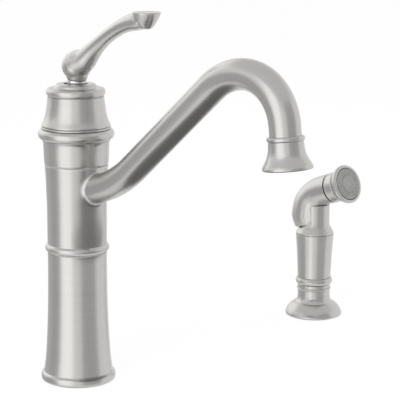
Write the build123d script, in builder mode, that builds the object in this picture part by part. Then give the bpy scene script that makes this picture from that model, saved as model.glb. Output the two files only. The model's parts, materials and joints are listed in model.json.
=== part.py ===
"""Single-lever kitchen faucet with an arched swivel spout and a side spray.

Millimetres, +Z up. The origin is the centre of the faucet's base on the deck surface.
The spout and the lever point along -Y, towards the user, and the side spray stands at +X.
"""

import os
from math import cos, degrees, radians, sin, tan

from build123d import *

os.makedirs("parts", exist_ok=True)

# ---------------------------------------------------------------- driving dimensions
deck_clamp = 20.0        # deck thickness the mounting hardware is shown closed on
base_radius = 31.1       # base bead
column_radius = 24.6     # lower column above the flare
column_top = 109.3       # where the swivelling spout body starts
swivel_gap = 0.65        # shadow line above and below the spout body
spout_body_top = 182.4
collar_top = 211.9
bonnet_top = 249.0

shank_radius = 14.3
shank_lead_radius = 13.8     # plain end below the thread
shank_end = -52.0
land_radius = 21.93      # bearing lands of the valve body
spout_bore = 22.0

spout_root_height = 158.7        # height at which the spout's centre line leaves the axis
spout_root_angle = 14.5          # degrees above the horizontal
spout_run_angle = 40.0
spout_tube_radius = 11.7
spout_tube_wall = 1.4
spout_end_angle = -83.5

pivot_height = 243.5     # tilt axis of the lever
rest_lean = 8.0          # degrees the stem leans forward with the water off
tip_depth = 10.0         # ball at the stem's lower end, which pushes the disc
lever_reach = 85.0       # axis of the thumb pad from the column's axis
lever_height = 312.0

spray_x = 295.0          # spacing of the two deck holes
dock_radius = 26.9
dock_bore = 13.2
dock_top = 26.9
lip_top = 30.1
wand_bottom = 30.3
shoulder_height = 79.9
neck_radius = 12.9
head_rise = 19.4         # degrees the spray head looks up
head_centre_height = 118.1
lever_wall = 1.8
squeeze_pivot = (3.0, 118.0)     # y, z of the squeeze lever's pin

pin_radius = 1.5
thread_gap = 0.05

# ---------------------------------------------------------------- working planes
column_section = Plane.XZ
spray_section = Plane(origin=(spray_x, 0, 0), x_dir=(1, 0, 0), z_dir=(0, -1, 0))
spray_axis = Axis((spray_x, 0, 0), (0, 0, 1))
spout_plane = Plane(origin=(0, 0, 0), x_dir=(0, -1, 0), z_dir=(-1, 0, 0))
spray_side = Plane(origin=(spray_x, 0, 0), x_dir=(0, 1, 0), z_dir=(1, 0, 0))


# ================================================================ fixed body of the faucet
with BuildPart() as base_column:
    with BuildSketch(column_section):
        with BuildLine():
            foot = Line((28.8, 0), (30.2, 0))
            bead = ThreePointArc((30.2, 0), (base_radius, 3.4), (29.9, 7.0))
            step = Line((29.9, 7.0), (28.6, 8.6))
            flare = Spline(
                (28.6, 8.6), (27.6, 16), (26.25, 33), (25.2, 56), (24.7, 78), (column_radius, 96),
                tangents=[(-0.12, 1), (0, 1)],
            )
            Polyline(
                flare @ 1, (column_radius, column_top), (22.4, column_top), (22.4, 6.5),
                (14.9, 6.5), (14.9, 3.0), (28.8, 3.0), (28.8, 0),
            )
        make_face()
    revolve(axis=Axis.Z)

with BuildPart() as base_gasket:
    with BuildSketch(column_section):
        with BuildLine():
            Polyline(
                (15.2, 0.4), (17.0, 0.4), (17.6, 0), (19.4, 0), (20.0, 0.6), (24.6, 0.6),
                (25.2, 0), (28.2, 0), (28.7, 0.5), (28.7, 3.0), (15.2, 3.0), close=True,
            )
        make_face()
    revolve(axis=Axis.Z)

# Brass body: hollow shank, two bearing lands with seal grooves and the cartridge bore
supply_places = [(-5.1, -2.95), (5.1, -2.95)]    # hot, cold
outlet_place = (0, 5.9)
tube_radius = 3.95
diverter_place = (0, 7.5)
diverter_bottom, diverter_top = 120.0, 150.0
chamber_port_height = 143.0
cartridge_floor = 212.0
body_top = 236.0

with BuildPart() as valve_body:
    with BuildSketch(column_section):
        with BuildLine():
            Polyline(
                (11.0, shank_end), (13.0, shank_end), (shank_lead_radius, shank_end + 0.8),
                (shank_lead_radius, -34.5), (shank_radius, -34.0), (shank_radius, 6.55),
                (21.8, 6.55), (21.8, 11.0), (17.5, 14.0),
                (17.5, 100.0), (land_radius, 104.0), (land_radius, 114.0),
                (20.0, 114.0), (20.0, 116.4), (land_radius, 116.4), (land_radius, 120.0),
                (20.0, 120.0), (20.0, 122.4), (land_radius, 122.4), (land_radius, 130.0),
                (19.0, 132.0), (19.0, 164.0), (land_radius, 166.0), (land_radius, 171.0),
                (20.0, 171.0), (20.0, 173.4), (land_radius, 173.4), (land_radius, 177.0),
                (20.0, 177.0), (20.0, 179.4), (land_radius, 179.4), (land_radius, 188.0),
                (21.5, 188.6), (21.5, 204.0), (20.8, 204.6), (20.8, body_top - 0.6),
                (20.2, body_top), (19.3, body_top), (19.3, 231.1), (17.8, 231.1),
                (17.8, cartridge_floor), (0, cartridge_floor), (0, 22.0), (11.0, 22.0),
                close=True,
            )
        make_face()
    revolve(axis=Axis.Z)
    # supply channels, each with a socket for its tube
    with BuildSketch(Plane.XY.offset(22.0)):
        with Locations(*supply_places, outlet_place):
            Circle(tube_radius + thread_gap)
    extrude(amount=14, mode=Mode.SUBTRACT)
    with BuildSketch(Plane.XY.offset(22.0)):
        with Locations(*supply_places):
            Circle(3.1)
    extrude(amount=cartridge_floor - 22.0, mode=Mode.SUBTRACT)
    # mixed water down to the diverter, spray water on below it
    with BuildSketch(Plane.XY.offset(diverter_top)):
        with Locations(diverter_place):
            Circle(4.0)
    extrude(amount=cartridge_floor - diverter_top, mode=Mode.SUBTRACT)
    with BuildSketch(Plane.XY.offset(diverter_bottom)):
        with Locations(diverter_place):
            Circle(6.4)
    extrude(amount=diverter_top - diverter_bottom, mode=Mode.SUBTRACT)
    with BuildSketch(Plane.XY.offset(30.0)):
        with Locations(outlet_place):
            Circle(3.1)
    extrude(amount=diverter_bottom - 30.0, mode=Mode.SUBTRACT)
    with BuildSketch(Plane.XZ.offset(-diverter_place[1])):
        with Locations((0, chamber_port_height)):
            Circle(3.6)
    extrude(amount=-14, mode=Mode.SUBTRACT)

with BuildPart() as mounting_washer:
    with BuildSketch(Plane.XY.offset(-deck_clamp - 1.8)):
        Circle(27.0)
        Circle(shank_radius + 0.5, mode=Mode.SUBTRACT)
    extrude(amount=1.8)
    chamfer(mounting_washer.edges().filter_by(GeomType.CIRCLE).sort_by(SortBy.RADIUS)[-1], 0.5)

with BuildPart() as mounting_nut:
    with BuildSketch(Plane.XY.offset(-deck_clamp - 11.8)):
        RegularPolygon(radius=20.0, side_count=6, major_radius=False)
    extrude(amount=8.0)
    with BuildSketch(Plane.XY.offset(-deck_clamp - 3.8)):
        Circle(22.0)
    extrude(amount=2.0)
    with BuildSketch(Plane.XY.offset(-deck_clamp - 11.8)):
        Circle(shank_radius + thread_gap)
    extrude(amount=10.0, mode=Mode.SUBTRACT)

# Three copper tubes leave the hollow shank and spread below the nut
tube_top, tube_bend, tube_end = 36.0, -72.0, -135.0
tube_places = {
    "hot_supply_tube": (*supply_places[0], -24.0, supply_places[0][1]),
    "cold_supply_tube": (*supply_places[1], 24.0, supply_places[1][1]),
    "spray_supply_tube": (*outlet_place, 0.0, 24.0),
}
supply_tubes = {}
supply_adapters = {}
for tube_name, (x0, y0, x1, y1) in tube_places.items():
    with BuildPart() as supply_tube:
        with BuildLine() as tube_path:
            FilletPolyline(
                (x0, y0, tube_top), (x0, y0, tube_bend), (x1, y1, -108.0), (x1, y1, tube_end),
                radius=26.0,
            )
        with BuildSketch(Plane.XY.offset(tube_top)):
            with Locations((x0, y0)):
                Circle(tube_radius)
                Circle(tube_radius - 0.8, mode=Mode.SUBTRACT)
        sweep(path=tube_path.wires()[0])
    supply_tubes[tube_name] = supply_tube

    # hex body over a male compression thread
    with BuildPart() as supply_adapter:
        with BuildSketch(Plane.XY.offset(tube_end - 8.0)):
            with Locations((x1, y1)):
                RegularPolygon(radius=8.0, side_count=6, major_radius=False)
        extrude(amount=8.0)
        with BuildSketch(Plane.XY.offset(tube_end - 22.0)):
            with Locations((x1, y1)):
                Circle(7.1)
        extrude(amount=14.0)
        with BuildSketch(Plane.XY.offset(tube_end - 22.0)):
            with Locations((x1, y1)):
                Circle(tube_radius - 0.8)
        extrude(amount=22.0, mode=Mode.SUBTRACT)
    supply_adapters[tube_name.replace("supply_tube", "supply_adapter")] = supply_adapter


# Seal rings in the grooves of the lands, two below and two above the water chamber
def ring_pair(heights, groove_radius, outer_radius, thickness):
    with BuildPart() as rings:
        for height in heights:
            middle = (groove_radius + outer_radius) / 2
            half = (outer_radius - groove_radius) / 2
            with BuildSketch(column_section):
                with Locations((middle, height)):
                    Ellipse(half, thickness / 2)
            revolve(axis=Axis.Z)
    return rings


lower_seal_rings = ring_pair((115.2, 121.2), 20.02, 21.98, 2.2)
upper_seal_rings = ring_pair((172.2, 178.2), 20.02, 21.98, 2.2)

with BuildPart() as lower_glide_ring:
    with BuildSketch(Plane.XY.offset(column_top)):
        Circle(23.9)
        Circle(spout_bore + 0.2, mode=Mode.SUBTRACT)
    extrude(amount=swivel_gap - 0.05)

with BuildPart() as upper_glide_ring:
    with BuildSketch(Plane.XY.offset(spout_body_top + 0.05)):
        Circle(25.3)
        Circle(spout_bore + 0.2, mode=Mode.SUBTRACT)
    extrude(amount=swivel_gap - 0.05)

# Diverter: sends the water to the side spray while its lever is squeezed
with BuildPart() as diverter_cage:
    with BuildSketch(Plane.XY.offset(diverter_bottom)):
        with Locations(diverter_place):
            Circle(6.35)
            Circle(4.8, mode=Mode.SUBTRACT)
    extrude(amount=diverter_top - diverter_bottom - 0.5)
    with BuildSketch(Plane.XZ.offset(-diverter_place[1])):
        with Locations((0, chamber_port_height)):
            Circle(3.2)
    extrude(amount=-8, mode=Mode.SUBTRACT)
    with BuildSketch(Plane.XY.offset(diverter_bottom)):
        with Locations(diverter_place):
            Circle(6.35)
            Circle(2.6, mode=Mode.SUBTRACT)
    extrude(amount=2.0)
    with BuildSketch(Plane.XY.offset(diverter_top - 2.5)):
        with Locations(diverter_place):
            Circle(6.35)
            Circle(3.0, mode=Mode.SUBTRACT)
    extrude(amount=2.0)

diverter_travel = 3.0
with BuildPart() as diverter_poppet:
    with BuildSketch(Plane.XY.offset(diverter_bottom + 2.3)):
        with Locations(diverter_place):
            Circle(4.4)
    extrude(amount=9.0)
    chamfer(diverter_poppet.edges().group_by(Axis.Z)[0], 1.0)
    with BuildSketch(Plane.XY.offset(diverter_bottom + 11.3)):
        with Locations(diverter_place):
            Circle(1.5)
    extrude(amount=10.0)

spring_low, spring_high = diverter_bottom + 11.9, diverter_top - 3.1
with BuildPart() as diverter_spring:
    with BuildLine():
        Helix(
            pitch=2.5, height=spring_high - spring_low, radius=3.3,
            center=(*diverter_place, spring_low),
        )
    coil_start = (diverter_place[0] + 3.3, diverter_place[1], spring_low)
    with BuildSketch(Plane(origin=coil_start, x_dir=(1, 0, 0), z_dir=(0, 1, 0.12))):
        RegularPolygon(radius=0.5, side_count=6)
    sweep(is_frenet=True)

# Neck and torus between the spout body and the bonnet
with BuildPart() as spout_collar:
    with BuildSketch(column_section):
        with BuildLine():
            Polyline(
                (spout_bore, spout_body_top + swivel_gap), (25.6, spout_body_top + swivel_gap),
                (26.4, spout_body_top + 1.2),
            )
            neck = Spline(
                (26.4, spout_body_top + 1.2), (26.9, 192), (27.3, 200.5),
                tangents=[(0.1, 1), (0.06, 1)],
            )
            ThreePointArc(neck @ 1, (27.7, 202.0), (28.7, 203.4))
            ThreePointArc((28.7, 203.4), (31.2, 207.8), (28.9, collar_top))
            Polyline(
                (28.9, collar_top), (21.6, collar_top), (21.6, 188.8), (spout_bore, 188.8),
                (spout_bore, spout_body_top + swivel_gap),
            )
        make_face()
    revolve(axis=Axis.Z)

with BuildPart() as trim_ring:
    with BuildSketch(column_section):
        with BuildLine():
            Polyline((27.6, collar_top + 0.1), (22.4, collar_top + 0.1), (22.4, 214.1), (27.6, 214.1))
            ThreePointArc((27.6, 214.1), (28.7, 213.05), (27.6, collar_top + 0.1))
        make_face()
    revolve(axis=Axis.Z)

# Bonnet: flared skirt, bead and shallow dome with the opening for the stem
with BuildPart() as bonnet:
    with BuildSketch(column_section):
        with BuildLine():
            Line((25.8, 214.2), (27.6, 214.2))
            ThreePointArc((27.6, 214.2), (28.15, 214.6), (28.1, 215.3))
            skirt = Spline(
                (28.1, 215.3), (26.4, 219.4), (25.0, 224.5), (24.0, 230.0), (23.4, 238.7),
                tangents=[(-0.3, 1), (0, 1)],
            )
            Line(skirt @ 1, (23.6, 239.3))
            ThreePointArc((23.6, 239.3), (24.5, 242.0), (23.3, 244.7))
            Line((23.3, 244.7), (22.6, 244.9))
            dome = Spline(
                (22.6, 244.9), (17.6, 247.6), (12.6, 248.8), (10.8, bonnet_top),
                tangents=[(-0.55, 0.5), (-1, 0)],
            )
            ThreePointArc(dome @ 1, (10.15, 248.7), (10.0, 248.1))
            Polyline(
                (10.0, 248.1), (10.0, 247.6), (14.0, 247.0), (18.3, 245.6), (21.4, 243.2),
                (21.4, 239.0), (20.9, 236.4), (20.9, 226.0), (22.6, 224.0), (24.2, 218.0),
                (25.8, 214.2),
            )
        make_face()
    revolve(axis=Axis.Z)

# Cartridge: seal, housing, fixed ceramic disc and the nut that holds them down
port_places = [(-7.0, -4.0), (7.0, -4.0), (0, 7.5)]

with BuildPart() as cartridge_seal:
    with BuildSketch(Plane.XY.offset(cartridge_floor)):
        Circle(17.5)
        with Locations(*port_places):
            Circle(3.0, mode=Mode.SUBTRACT)
    extrude(amount=2.0)

housing_floor = cartridge_floor + 2.0
disc_joint = housing_floor + 7.5
with BuildPart() as cartridge_housing:
    with BuildSketch(column_section):
        with BuildLine():
            Polyline(
                (0, housing_floor), (17.6, housing_floor), (17.6, 231.0), (15.6, 231.0),
                (15.6, 239.5), (13.6, 239.5), (13.6, housing_floor + 4.0), (0, housing_floor + 4.0),
                close=True,
            )
        make_face()
    revolve(axis=Axis.Z)
    with BuildSketch(Plane.XY.offset(housing_floor)):
        with Locations(*port_places):
            Circle(3.0)
    extrude(amount=4.0, mode=Mode.SUBTRACT)

with BuildPart() as fixed_disc:
    with BuildSketch(Plane.XY.offset(housing_floor + 4.0)):
        Circle(13.5)
        with Locations(*port_places):
            Circle(2.8, mode=Mode.SUBTRACT)
    extrude(amount=3.5)

with BuildPart() as cartridge_nut:
    with BuildSketch(Plane.XY.offset(231.15)):
        Circle(19.2)
        Circle(15.8, mode=Mode.SUBTRACT)
    extrude(amount=7.4)
    with BuildSketch(Plane.XY.offset(236.4)):
        with PolarLocations(19.2, 6):
            Rectangle(3.2, 3.2)
    extrude(amount=3.0, mode=Mode.SUBTRACT)


# ================================================================ lever and what it drives
# The carrier turns with the lever (temperature); its ears hold the tilt pin
carrier_bottom = disc_joint + 3.9
channel_top = 236.2
with BuildPart() as temperature_carrier:
    with BuildSketch(Plane.XY.offset(carrier_bottom)):
        Circle(13.52)
    extrude(amount=246.3 - carrier_bottom)
    chamfer(temperature_carrier.edges().group_by(Axis.Z)[-1], 0.6)
    with BuildSketch(Plane.XY.offset(carrier_bottom)):
        Rectangle(16.4, 40)
    extrude(amount=channel_top - carrier_bottom, mode=Mode.SUBTRACT)
    with BuildSketch(Plane.XY.offset(channel_top)):
        Rectangle(10.6, 23.0)
    extrude(amount=20, mode=Mode.SUBTRACT)
    with BuildSketch(Plane.YZ.offset(-14)):
        with Locations((0, pivot_height)):
            Circle(pin_radius + thread_gap)
    extrude(amount=28, mode=Mode.SUBTRACT)

with BuildPart() as stem_pin:
    with BuildSketch(Plane.YZ.offset(-12.6)):
        with Locations((0, pivot_height)):
            Circle(pin_radius)
    extrude(amount=25.2)

# The upper disc and its driver slide inside the carrier (flow); the stem's ball moves them
closed_shift = tip_depth * sin(radians(rest_lean))
with BuildPart() as moving_disc:
    with BuildSketch(Plane.XY.offset(disc_joint + 0.05)):
        with Locations((0, closed_shift)):
            Circle(10.5)
        with Locations((0, closed_shift - 3.0)):
            SlotOverall(11.0, 5.0, mode=Mode.SUBTRACT)
    extrude(amount=3.4)

with BuildPart() as disc_driver:
    with BuildSketch(Plane.XY.offset(disc_joint + 3.45)):
        with Locations((0, closed_shift)):
            Circle(10.5)
        Rectangle(15.8, 40, mode=Mode.INTERSECT)
    extrude(amount=10.4)
    with BuildSketch(Plane.XY.offset(229.0)):
        with Locations((0, closed_shift)):
            Circle(2.9)
    extrude(amount=8.0, mode=Mode.SUBTRACT)
    with BuildSketch(Plane.XY.offset(233.9)):
        with Locations((0, closed_shift)):
            Circle(3.9)
    extrude(amount=4.0, mode=Mode.SUBTRACT)

# Stem: ball tip, pinned block and the bright neck that shows above the dome
stem_frame = Plane(
    origin=(0, 0, pivot_height),
    x_dir=(1, 0, 0),
    z_dir=(0, -sin(radians(rest_lean)), cos(radians(rest_lean))),
)
neck_low, neck_high = 5.0, 8.7
with BuildPart() as lever_stem:
    with BuildSketch(stem_frame.offset(-tip_depth)):
        Circle(2.1)
    extrude(amount=tip_depth)
    with BuildSketch(stem_frame.offset(-3.5)):
        RectangleRounded(9.8, 11.0, 1.5)
    extrude(amount=neck_low + 3.5)
    with BuildSketch(stem_frame.offset(neck_low)):
        Circle(8.05)
    extrude(amount=neck_high - neck_low)
    with BuildSketch(stem_frame.offset(neck_high)):
        Circle(5.5)
    extrude(amount=10.0)
    with Locations(stem_frame.offset(-tip_depth).location):
        Sphere(2.6)
    with BuildSketch(Plane.YZ.offset(-8)):
        with Locations((0, pivot_height)):
            Circle(1.56)
    extrude(amount=16, mode=Mode.SUBTRACT)

# Lever: ball, tapered arm and a bowl-shaped thumb pad with a flat top
lever_ball = (1.3, 263.3, 12.2)
arm_stations = [     # distance forward, height, half thickness, half width, slope in degrees
    (3.6, 265.0, 11.6, 11.7, 33.0),
    (12.1, 268.9, 9.2, 9.5, 36.0),
    (21.1, 276.6, 7.1, 7.6, 40.0),
    (29.4, 283.0, 6.0, 6.7, 36.5),
    (37.4, 288.6, 5.6, 6.4, 33.5),
    (46.5, 293.9, 5.5, 6.5, 28.5),
    (56.5, 298.9, 5.8, 6.9, 23.5),
    (66.5, 302.4, 6.5, 7.8, 16.0),
    (78.0, 304.7, 7.2, 8.6, 8.0),
]
with BuildPart() as lever_handle:
    for forward, height, thick, wide, slope in arm_stations:
        along = (0, -cos(radians(slope)), sin(radians(slope)))
        with BuildSketch(Plane(origin=(0, -forward, height), x_dir=(1, 0, 0), z_dir=along)):
            Ellipse(wide, thick)
    loft()
    with Locations((0, -lever_ball[0], lever_ball[1])):
        Sphere(lever_ball[2])
    # thumb pad
    with BuildSketch(Plane(origin=(0, -lever_reach, 0), x_dir=(1, 0, 0), z_dir=(0, -1, 0))):
        with BuildLine():
            bowl = Spline(
                (0, 298.3), (4.4, 299.7), (7.9, 304.0), (10.2, 308.6), (11.2, 311.3),
                tangents=[(1, 0), (0.3, 1)],
            )
            ThreePointArc(bowl @ 1, (11.05, 311.85), (10.4, lever_height))
            Polyline((10.4, lever_height), (9.2, 311.7), (0, 311.7), (0, 298.3))
        make_face()
    revolve(axis=Axis((0, -lever_reach, 0), (0, 0, 1)))
    # skirt that closes on the neck, and the socket for the stem
    with BuildSketch(stem_frame.offset(neck_high + 0.05)):
        Circle(8.4)
    extrude(amount=8.0)
    with BuildSketch(stem_frame.offset(-10)):
        Circle(30)
    extrude(amount=neck_high + 10.05, mode=Mode.SUBTRACT)
    with BuildSketch(stem_frame.offset(neck_high)):
        Circle(5.5)
    extrude(amount=10.0, mode=Mode.SUBTRACT)
    with BuildSketch(Plane.XZ.offset(-20)):
        with Locations((0, 260.0)):
            Circle(2.0)
    extrude(amount=17, mode=Mode.SUBTRACT)

with BuildPart() as set_screw:
    with BuildSketch(Plane.XZ.offset(-9.4)):
        with Locations((0, 260.0)):
            Circle(1.95)
    extrude(amount=5.8)
    with BuildSketch(Plane.XZ.offset(-9.4)):
        with Locations((0, 260.0)):
            RegularPolygon(radius=1.1, side_count=6)
    extrude(amount=1.6, mode=Mode.SUBTRACT)


# ================================================================ swivelling spout
root_lead = 26.2
root_bend_radius = 112.8
stub_length = 9.0
run_length = 112.8


def spout_line(length_in_arc):
    """Centre line of the stub: straight out of the axis, then the start of the rising bend."""
    with BuildLine(spout_plane) as line:
        lead = PolarLine((0, spout_root_height), root_lead, spout_root_angle)
        JernArc(lead @ 1, lead % 1, root_bend_radius, degrees(length_in_arc / root_bend_radius))
    return line


arch_radii = (57.0, 47.0, 37.8)          # rising side, crown, falling side
arch_angles = (spout_run_angle, 10.0, -10.6, spout_end_angle)
outlet_lead = 11.7

with BuildPart() as spout_body:
    with BuildSketch(column_section):
        with BuildLine():
            bottom = column_top + swivel_gap
            Line((spout_bore, bottom), (24.9, bottom))
            ThreePointArc((24.9, bottom), (26.6, bottom + 3.1), (24.9, bottom + 6.4))
            barrel = Spline(
                (24.6, bottom + 7.0), (24.7, 148.0), (25.2, 162.0), (25.75, 173.0),
                (26.2, spout_body_top - 0.6), tangents=[(0, 1), (0.05, 1)],
            )
            Line((24.9, bottom + 6.4), barrel @ 0)
            Polyline(
                barrel @ 1, (25.7, spout_body_top), (spout_bore, spout_body_top),
                (spout_bore, bottom),
            )
        make_face()
    revolve(axis=Axis.Z)
    stub_path = spout_line(stub_length)
    stub_start = Plane(
        origin=(0, 0, spout_root_height), x_dir=(1, 0, 0),
        z_dir=(0, -cos(radians(spout_root_angle)), sin(radians(spout_root_angle))),
    )
    with BuildSketch(stub_start):
        Circle(spout_tube_radius)
    sweep(path=stub_path.wires()[0])
    with BuildSketch(Plane.XY.offset(column_top)):
        Circle(spout_bore)
    extrude(amount=90, mode=Mode.SUBTRACT)
    with BuildSketch(stub_start):
        Circle(spout_tube_radius - spout_tube_wall)
    sweep(path=stub_path.wires()[0], mode=Mode.SUBTRACT)

with BuildPart() as spout_tube:
    with BuildLine(spout_plane) as tube_centre:
        stub = spout_line(stub_length)
        stub_end = stub.line @ 1
        stub_heading = stub.line % 1
        start = (-stub_end.Y, stub_end.Z)
        heading = (-stub_heading.Y, stub_heading.Z)
        left_to_bend = (spout_run_angle - spout_root_angle) - degrees(stub_length / root_bend_radius)
        piece = JernArc(start, heading, root_bend_radius, left_to_bend)
        piece = PolarLine(piece @ 1, run_length, spout_run_angle)
        for radius, angle_in, angle_out in zip(arch_radii, arch_angles, arch_angles[1:]):
            turn = radians(angle_in)
            piece = JernArc(
                piece @ 1, (cos(turn), sin(turn)), radius, angle_out - angle_in,
            )
        outlet = PolarLine(piece @ 1, outlet_lead, spout_end_angle)
    tube_start = Plane(origin=stub_end, x_dir=(1, 0, 0), z_dir=stub_heading)
    with BuildSketch(tube_start):
        Circle(spout_tube_radius)
        Circle(spout_tube_radius - spout_tube_wall, mode=Mode.SUBTRACT)
    sweep(path=tube_centre.wires()[0])


# Outlet: trim ring, bell and the aerator inside it, all along the falling end of the spout
outlet_heading = outlet % 1
tube_into_bell = 3.0
ring_centre = (outlet @ 1) - outlet_heading * tube_into_bell


def section_along(origin, direction):
    """Sketch plane whose x is a radius and whose y runs along the direction."""
    return Plane(origin=origin, x_dir=(1, 0, 0), z_dir=Vector(1, 0, 0).cross(direction))


outlet_section = section_along(ring_centre, outlet_heading)
outlet_axis = Axis(ring_centre, outlet_heading)

with BuildPart() as spout_ring:
    with BuildSketch(outlet_section):
        with BuildLine():
            Polyline((13.3, 1.7), (11.75, 1.7), (11.75, -1.7), (13.3, -1.7))
            ThreePointArc((13.3, -1.7), (13.9, 0), (13.3, 1.7))
        make_face()
    revolve(axis=outlet_axis)

with BuildPart() as spout_bell:
    with BuildSketch(outlet_section):
        with BuildLine():
            flared = Spline(
                (13.1, 1.75), (13.15, 5.0), (13.5, 8.6), (14.4, 12.2), (16.0, 15.5), (17.8, 18.6),
                (18.55, 20.4), tangents=[(0, 1), (0.3, 1)],
            )
            ThreePointArc(flared @ 1, (18.45, 21.7), (17.3, 22.3))
            ThreePointArc((17.3, 22.3), (16.4, 22.0), (15.6, 21.0))
            Line((15.6, 21.0), (12.9, 19.8))
            Polyline(
                (12.9, 19.8), (12.05, 19.0), (12.05, 5.4), (10.3, 5.4), (10.3, 3.05),
                (11.75, 3.05), (11.75, 1.75), (13.1, 1.75),
            )
        make_face()
    revolve(axis=outlet_axis)

with BuildPart() as aerator_washer:
    with BuildSketch(Plane(origin=ring_centre + outlet_heading * 5.4, z_dir=outlet_heading)):
        Circle(11.9)
        Circle(9.2, mode=Mode.SUBTRACT)
    extrude(amount=1.2)

with BuildPart() as aerator_housing:
    with BuildSketch(outlet_section):
        Polygon(
            (9.6, 6.65), (12.0, 6.65), (12.0, 19.2), (11.2, 20.2), (9.9, 20.2), (9.9, 17.2),
            (8.8, 17.2), (8.8, 16.2), (9.6, 16.2), align=None,
        )
    revolve(axis=outlet_axis)

with BuildPart() as aerator_screen:
    screen_plane = Plane(
        origin=ring_centre + outlet_heading * 17.25, x_dir=(1, 0, 0), z_dir=outlet_heading,
    )
    with BuildSketch(screen_plane):
        Circle(9.8)
        Circle(0.75, mode=Mode.SUBTRACT)
        for ring_radius, ring_count in ((2.6, 6), (5.2, 12), (7.8, 18)):
            with PolarLocations(ring_radius, ring_count):
                Circle(0.75, mode=Mode.SUBTRACT)
    extrude(amount=1.4)


# ================================================================ side spray: dock in the deck
with BuildPart() as dock_flange:
    with BuildSketch(spray_section):
        with BuildLine():
            Line((23.9, 0), (25.9, 0))
            ThreePointArc((25.9, 0), (dock_radius, 1.9), (26.3, 3.8))
            crown = Spline(
                (26.3, 3.8), (25.0, 6.5), (22.7, 9.4), (19.7, 11.9), (17.6, 13.0),
                tangents=[(-0.3, 1), (-1, 0.45)],
            )
            rise = Spline(
                (17.3, 13.3), (16.0, 15.2), (15.3, 18.2), tangents=[(-1, 1), (0, 1)],
            )
            Line(crown @ 1, rise @ 0)
            Line(rise @ 1, (15.3, 24.7))
            ThreePointArc((15.3, 24.7), (16.15, 25.8), (15.8, dock_top))
            Polyline(
                (15.8, dock_top), (dock_bore, dock_top), (dock_bore, -45.0), (14.6, -45.0),
                (15.4, -44.2), (15.4, -31.5), (15.9, -31.0), (15.9, 2.2), (23.9, 2.2), (23.9, 0),
            )
        make_face()
    revolve(axis=spray_axis)

with BuildPart() as dock_gasket:
    with BuildSketch(spray_section):
        Polygon(
            (16.0, 0.3), (18.0, 0.3), (18.4, 0), (21.0, 0), (21.4, 0.3), (23.8, 0.3),
            (23.8, 2.15), (16.0, 2.15), align=None,
        )
    revolve(axis=spray_axis)

with BuildPart() as dock_washer:
    with BuildSketch(Plane.XY.offset(-deck_clamp - 1.6)):
        with Locations((spray_x, 0)):
            Circle(24.0)
            Circle(16.4, mode=Mode.SUBTRACT)
    extrude(amount=1.6)

# wing nut turned by hand from below
with BuildPart() as dock_nut:
    with BuildSketch(Plane.XY.offset(-deck_clamp - 9.0)):
        with Locations((spray_x, 0)):
            Circle(19.5)
    extrude(amount=7.35)
    with BuildSketch(Plane.XY.offset(-deck_clamp - 9.0)):
        with Locations((spray_x, 0)):
            with PolarLocations(21.0, 4):
                RectangleRounded(9.0, 4.4, 1.6)
    extrude(amount=6.0)
    with BuildSketch(Plane.XY.offset(-deck_clamp - 9.0)):
        with Locations((spray_x, 0)):
            Circle(15.95)
    extrude(amount=8.0, mode=Mode.SUBTRACT)

with BuildPart() as dock_liner:
    with BuildSketch(spray_section):
        Polygon(
            (11.6, -20.0), (13.1, -20.0), (13.1, dock_top + 0.05), (15.5, dock_top + 0.05),
            (15.7, lip_top - 0.5), (15.3, lip_top), (12.2, lip_top), (11.6, lip_top - 0.6),
            align=None,
        )
    revolve(axis=spray_axis)

# ================================================================ side spray: hose end
with BuildPart() as hose_coupling:
    with BuildSketch(spray_section):
        Polygon(
            (4.0, -20.0), (6.4, -20.0), (7.0, -19.4), (7.0, -6.0), (8.6, -6.0), (8.6, 4.5),
            (11.2, 7.0), (11.2, 29.0), (10.6, 29.6), (7.5, 29.6), (7.5, 34.0), (6.4, 34.0),
            (6.4, 36.2), (7.5, 36.2), (7.5, 43.4), (6.9, 44.0), (4.0, 44.0), align=None,
        )
    revolve(axis=spray_axis)
    with BuildSketch(Plane.XY.offset(-6.0)):
        with Locations((spray_x, 0)):
            RegularPolygon(radius=8.6, side_count=6, major_radius=False)
    extrude(amount=8.0)
    with BuildSketch(Plane.XY.offset(-6.0)):
        with Locations((spray_x, 0)):
            Circle(4.0)
    extrude(amount=9.0, mode=Mode.SUBTRACT)

with BuildPart() as coupling_seal:
    with BuildSketch(spray_section):
        with Locations((6.95, 35.1)):
            Ellipse(0.53, 1.0)
    revolve(axis=spray_axis)

# ================================================================ side spray: hand piece
cap_top = 36.6
grip_top = 76.4
with BuildPart() as wand_end_cap:
    with BuildSketch(spray_section):
        with BuildLine():
            Line((9.0, wand_bottom + 0.1), (16.4, wand_bottom + 0.1))
            ThreePointArc((16.4, wand_bottom + 0.1), (17.4, 33.4), (16.4, cap_top))
            Polyline(
                (16.4, cap_top), (14.0, cap_top), (14.0, 44.0), (7.58, 44.0),
                (7.58, wand_bottom + 1.2), (9.0, wand_bottom + 0.1),
            )
        make_face()
    revolve(axis=spray_axis)

with BuildPart() as wand_grip:
    with BuildSketch(spray_section):
        with BuildLine():
            Line((14.05, cap_top + 0.05), (15.4, cap_top + 0.05))
            taper = Spline(
                (15.8, cap_top + 0.6), (15.9, 42), (16.2, 50), (16.65, 60), (17.15, 68),
                (17.7, grip_top - 0.6), tangents=[(0, 1), (0.05, 1)],
            )
            Line((15.4, cap_top + 0.05), taper @ 0)
            Polyline(
                taper @ 1, (17.2, grip_top), (14.05, grip_top), (14.05, cap_top + 0.05),
            )
        make_face()
    revolve(axis=spray_axis)

head_heading = Vector(0, -cos(radians(head_rise)), sin(radians(head_rise)))
head_origin = Vector(spray_x, 0, head_centre_height)
head_section = section_along(head_origin, head_heading)
head_axis = Axis(head_origin, head_heading)
plunger_height = 98.0
head_root = 66.5
neck_top = 118.0
face_back = 39.6
slot_line = tan(radians(head_rise))


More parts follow.
